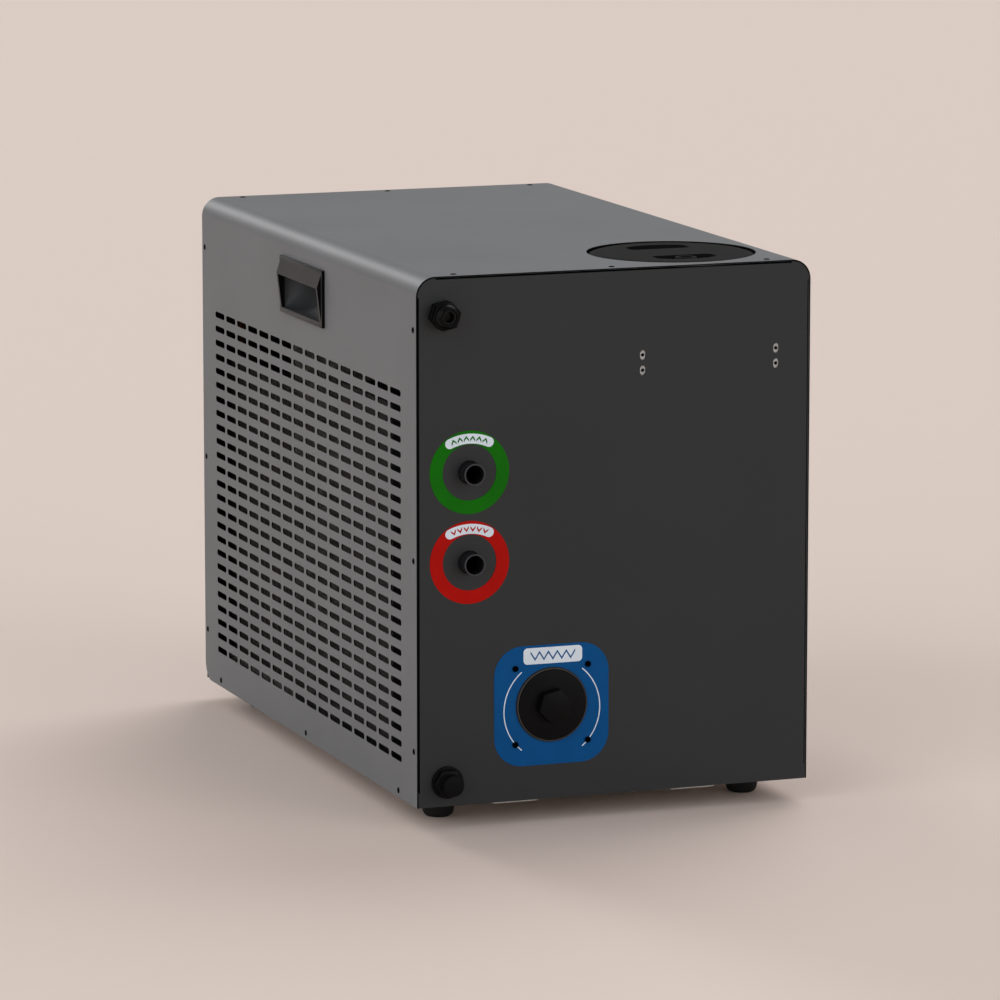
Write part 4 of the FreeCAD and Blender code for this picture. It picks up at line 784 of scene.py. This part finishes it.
# Filter cap and its screws
# A black moulded screw cap with a hexagonal boss for a spanner, sealed in the housing's mouth. Its outer
# edge is painted a paler grey ring as a highlight. Four small black screws hold the housing to the panel.
# Painted highlight: a paler grey ring on the cap's outer edge stands for the light along it.
cap_edge_highlight = moulded("painted_cap_edge_highlight", "#4a4642", 0.6, 1.0, 0.1, 0.1)
black_screw = moulded("black_zinc_screw", "#030303", 0.6, 1.5, 0.05, 0.02)
highlight_from = 32.6
cap_profile = eased([(0, 2.8), (32.2, 2.8), (32.4, 2.1), (highlight_from, 2.1), (32.8, 2.8), (33.5, 2.6),
                     (33.5, 0.3), (28, 0.3), (28, -18), (0, -18)], 0.2, 2)
cap_mesh = lathe(cap_profile, label_place)
cap_middle = label_place.to_translation()
# Faces beyond this radius take the painted highlight.
for polygon in cap_mesh.polygons:
    polygon.material_index = int(Vector(polygon.center - cap_middle).xz.length > highlight_from * mm)
cap_mesh = joined(cap_mesh, hexagon(28, 2.4, 12.8, 13, label_place, 0.6))
piece("filter_cap", cap_mesh, black_nylon, "cap", "black_plastic", "filter_cap", second=cap_edge_highlight)
screw_profile = eased([(0, 0.9), (1.2, 0.9), (1.4, 1.9), (2.8, 1.7), (2.8, film_mm), (2.0, film_mm),
                       (2.0, -5), (0, -5)], 0.25, 2)
screw_reach = 35
label_screws = []
for dx in (-screw_reach, screw_reach):
    for dz in (-screw_reach, screw_reach):
        label_screws.append(lathe(screw_profile, on_panel(label_x + dx, label_z + dz), steps=32))
piece("filter_screws", joined(*label_screws), black_screw, "chassis", "black_steel", "filter_screws")


# Drain plug
# A black nylon plug with a plain round head, screwed into a flanged hexagonal sleeve at the lowest point
# of the water circuit.
drain = on_panel(-161.3, 22.3)
drain_flange = eased([(9, 0), (14.8, 0), (14.8, 3), (9, 3)], 0.6, closed=True)
drain_core = eased([(6.4, -22), (6.4, 7.8), (9, 7.8), (9, -22)], 0.2, closed=True)
piece("drain_sleeve", joined(lathe(drain_flange, drain, closed=True), lathe(drain_core, drain, closed=True),
                             hexagon(24, 2.6, 8, 0, drain, 0.7)), black_nylon, "chassis", "black_plastic",
      "drain_sleeve")
plug_profile = eased([(0, -16), (6, -16), (6, 9.8), (9.5, 9.8), (9.5, 20), (0, 20)], 0.7)
piece("drain_plug", lathe(plug_profile, drain), black_nylon, "plug", "black_plastic", "drain_plug")


# Carry handles
# Snap-in pull cups, moulded in black ABS with a grained face. The end faces are smoother and painted
# darker as shade. A flange hides the edge of the hole in the cover, the hood stands out over the mouth,
# and behind it the wall falls back in one soft scoop for the fingers.
cup_plastic = moulded("grained_black_abs", "#303233", 0.5, 1.2, 0.2)
# Painted shade: the cups' end faces are coloured near black for the shade on them.
cup_end_shade = moulded("painted_shade_on_cup_ends", "#0a0a0a", 0.4, 1.2, 0.05, 0.1)
cup_low = 423.6
cup_top = 477.4
cup_half = 63.2
cup_flange = 3.1
cup_hood = 7.0
hood_half = 60.6
hood_top = cup_top - 4.2
lip_z = 461.3
mouth_low = cup_low + 4.9
mouth_high = 472.0
scoop_half = 57
scoop_depth = 22
ramp_rise = 38
cup_wall = 2.0
overlap = 0.5


def drawn(rings):
    """A closed skin over a row of rings with equal numbers of points, in millimetres."""
    bm = bmesh.new()
    rows = [[bm.verts.new(Vector(point) * mm) for point in ring] for ring in rings]
    for a, b in zip(rows, rows[1:]):
        for i in range(len(a)):
            j = (i + 1) % len(a)
            bm.faces.new((a[i], a[j], b[j], b[i]))
    bm.faces.new(rows[0])
    bm.faces.new(rows[-1])
    bmesh.ops.recalc_face_normals(bm, faces=bm.faces)
    return bm


def along_side(section, half, ease=0.0):
    """A section of depths and heights, drawn out along the side of the casing."""
    bm = drawn([[(d, y, z) for d, z in section] for y in (-half, half)])
    if ease:
        bmesh.ops.bevel(bm, geom=list(bm.edges), offset=ease * mm, segments=2, profile=0.5, affect="EDGES",
                        clamp_overlap=True)
    mesh = bpy.data.meshes.new("along_side")
    bm.to_mesh(mesh)
    bm.free()
    return mesh


def scoop_mesh():
    """The hollow of a pull cup, deepest under the hood and rounded towards both ends."""
    steps = 24
    ramp_steps = 12
    ramp = []
    for i in range(ramp_steps):
        angle = math.pi / 2 * (i + 1) / ramp_steps
        ramp.append((-scoop_depth * math.sin(angle), mouth_low + ramp_rise * (1 - math.cos(angle))))
    lip = lip_z - cup_wall / 2
    outside = [(cup_hood + 3, lip), (cup_hood + 3, mouth_low), (0, mouth_low)]
    inside = [(-scoop_depth, mouth_high), (0, mouth_high), (cup_flange - cup_wall, mouth_high - cup_wall),
              (cup_hood - cup_wall, lip)]
    rings = []
    for i in range(steps + 1):
        across = math.sin(math.pi * (i / steps - 0.5))
        deep = max(1 - abs(across) ** 3, 0) ** 0.5
        rings.append([(d * deep if d < 0 else d, across * scoop_half, z) for d, z in outside + ramp + inside])
    bm = drawn(rings)
    mesh = bpy.data.meshes.new("scoop")
    bm.to_mesh(mesh)
    bm.free()
    return mesh


def carved(base, *steps):
    """A mesh after a row of boolean steps, each with its mesh and its operation."""
    made = bpy.data.objects.new("base", base)
    bpy.context.collection.objects.link(made)
    tools = []
    for mesh, operation in steps:
        tool = bpy.data.objects.new("tool", mesh)
        bpy.context.collection.objects.link(tool)
        tools.append(tool)
        step = made.modifiers.new("step", "BOOLEAN")
        step.object = tool
        step.operation = operation
        step.solver = "EXACT"
    mesh = bpy.data.meshes.new_from_object(made.evaluated_get(bpy.context.evaluated_depsgraph_get()))
    for tool in [made] + tools:
        bpy.data.objects.remove(tool)
    return mesh


flange = along_side([(0, cup_low), (cup_flange, cup_low), (cup_flange, cup_top), (0, cup_top)], cup_half, 0.5)
hood = along_side([(overlap, hood_top), (cup_flange, hood_top), (cup_hood, lip_z), (cup_flange, mouth_low),
                   (overlap, mouth_low)], hood_half)
pocket_back = -scoop_depth - 1.5
pocket_low = mouth_low - 0.5
pocket_high = mouth_high + cup_wall
pocket = along_side([(pocket_back, pocket_low), (overlap, pocket_low), (overlap, pocket_high),
                     (pocket_back, pocket_high)], scoop_half + cup_wall)
pull_cup = carved(flange, (hood, "UNION"), (pocket, "UNION"), (scoop_mesh(), "DIFFERENCE"))
for side, x, turn in (("left", -half_width, math.pi), ("right", half_width, 0)):
    cup = pull_cup.copy()
    cup.transform(Matrix.Translation((x, middle_y, 0)) @ Matrix.Rotation(turn, 4, "Z"))
    # Faces towards the front and the rear take the painted shade.
    for polygon in cup.polygons:
        at_end = abs(polygon.normal.y) > 0.8 and abs(polygon.center.x) > half_width
        polygon.material_index = int(at_end)
    piece("pull_cup_" + side, cup, cup_plastic, "chassis", "black_plastic", "handle_" + side, second=cup_end_shade)


# Round lid
# A matt charcoal moulded lid, flush with the cover, with two finger grips to turn it by. Its edge falls
# away in a soft roll, and a small ring stands in the front grip.
lid_plastic = moulded("charcoal_abs", "#1a1a1a", 0.7, 1.2, 0.2, 0.05)
lid_place = Matrix.Translation((lid_centre.x, lid_centre.y, top_z))
lid_skin = eased([(0, 0), (69, 0), (76.3, -2.2), (76.3, -19), (72.5, -19), (72.5, -5), (0, -5)], 1.6, 4)
grip_half = 29.3
grip_inner = 23.5
grip_outer = 51.5
grip_floor = -11
grip_wall = 2


def grip(side, grow, low, high):
    """A finger grip as a solid, straight towards the middle and curved along the edge."""
    half = grip_half + grow
    reach = grip_outer + grow
    edge = math.degrees(math.acos(half / reach))
    corner_z = reach * math.sin(math.radians(edge))
    outline = [(-half, grip_inner - grow), (half, grip_inner - grow), (half, corner_z)]
    outline += arc((0, 0), reach, edge + 13, 167 - edge, 18) + [(-half, corner_z)]
    return plate([(x, side * y) for x, y in eased(outline, 6, 4, closed=True)], low, high, lid_place)


grips = [(grip(side, grip_wall, grip_floor - grip_wall, -4.9), "UNION") for side in (-1, 1)]
grips += [(grip(side, 0, grip_floor, 3), "DIFFERENCE") for side in (-1, 1)]
piece("round_lid", carved(lathe(lid_skin, lid_place, steps=144), *grips), lid_plastic, "round_lid",
      "black_plastic", "lid")
grip_ring = eased([(6.5, -10.9), (10, -10.9), (10, -0.4), (8.3, 0.2), (6.5, -0.4)], 0.7, closed=True)
ring_place = Matrix.Translation((lid_centre.x, lid_centre.y - 37 * mm, top_z))
piece("lid_grip_ring", lathe(grip_ring, ring_place, closed=True, steps=48), lid_plastic, "round_lid",
      "black_plastic")


# Rubber feet
# Four tapered feet, moulded in black rubber round a threaded stud. The lower edge is rounded by wear of
# the mould.
foot_profile = eased([(0, 0), (10.9, 0), (13.9, 3.0), (15.2, 10), (16, 21.5), (16, 22.5), (0, 22.5)], 1.6, 4)
for node in ("foot_front_left", "foot_front_right", "foot_rear_left", "foot_rear_right"):
    low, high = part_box(node)
    place = Matrix.Translation(((low.x + high.x) / 2, (low.y + high.y) / 2, 0))
    piece("rubber_" + node, lathe(foot_profile, place, steps=64), foot_rubber, "chassis", "rubber", node)


# Cover screws
# Black low-headed self-tapping screws along the edges of the cover. Their cross recess is drawn as a round
# dimple, which reads as a dark dot.
def screw_tree():
    """One screw on each point, turned to the direction that the point carries."""
    tree = bpy.data.node_groups.new("cover_screws", "GeometryNodeTree")
    tree.interface.new_socket("Geometry", in_out="INPUT", socket_type="NodeSocketGeometry")
    tree.interface.new_socket("Geometry", in_out="OUTPUT", socket_type="NodeSocketGeometry")
    tree.interface.new_socket("Screw", in_out="INPUT", socket_type="NodeSocketObject")
    tree.interface.new_socket("Material", in_out="INPUT", socket_type="NodeSocketMaterial")
    given = put(tree, "NodeGroupInput").outputs
    out = put(tree, "GeometryNodeInputNamedAttribute", {"Name": "out"}, data_type="FLOAT_VECTOR")
    turn = put(tree, "FunctionNodeAlignRotationToVector", {"Vector": out.outputs[0]}, axis="Z")
    screw = put(tree, "GeometryNodeObjectInfo", {0: given["Screw"]})
    spread = put(tree, "GeometryNodeInstanceOnPoints", {
        "Points": given["Geometry"], "Instance": screw.outputs["Geometry"], "Rotation": turn.outputs[0]})
    real = put(tree, "GeometryNodeRealizeInstances", {0: spread.outputs[0]})
    painted = put(tree, "GeometryNodeSetMaterial", {"Geometry": real.outputs[0],
                                                    "Material": given["Material"]})
    put(tree, "NodeGroupOutput", {0: painted.outputs[0]})
    return tree


seats = []
for side in (-1, 1):
    for y in (front_y + 8.3 * mm, rear_y - 8.3 * mm):
        for height in (50.7, 225.0, 434.0):
            seats.append(((side * half_width, y, low_z + height * mm), (side, 0, 0)))
    for y in (-268 * mm, 0, 268 * mm):
        seats.append(((side * half_width, middle_y + y, low_z + 6.5 * mm), (side, 0, 0)))
for y in (front_y + 10.4 * mm, rear_y - 10.4 * mm):
    for x in (-151 * mm, 0, 151 * mm):
        seats.append(((x, y, top_z), (0, 0, 1)))
seat_mesh = bpy.data.meshes.new("screw_seats")
seat_mesh.from_pydata([seat for seat, out in seats], [], [])
outward = seat_mesh.attributes.new("out", "FLOAT_VECTOR", "POINT")
for i, (seat, out) in enumerate(seats):
    outward.data[i].vector = out
cover_screw = bpy.data.objects.new("cover_screw", lathe(eased([
    (0, 0.1), (1.0, 0.1), (1.1, 0.65), (2.2, 0.55), (2.9, 0.1), (2.9, 0), (1.9, 0), (1.9, -7), (0, -7)],
    0.15, 2), Matrix.Identity(4), steps=24))
bpy.context.collection.objects.link(cover_screw)
screws = run_tree("cover_screws", seat_mesh, screw_tree(), {"Screw": cover_screw, "Material": black_screw})
bpy.data.objects.remove(cover_screw)
piece("cover_screws", screws, black_screw, "chassis", "black_steel", "cover_screws")


# Filter cartridge
# White pleated filter paper in a moulded core. It shows only when the cap is off.
filter_paper = moulded("white_filter_paper", "#d8d6cf", 0.85, 1.5, 0.4)
dress(filter_paper, "filter_cartridge")
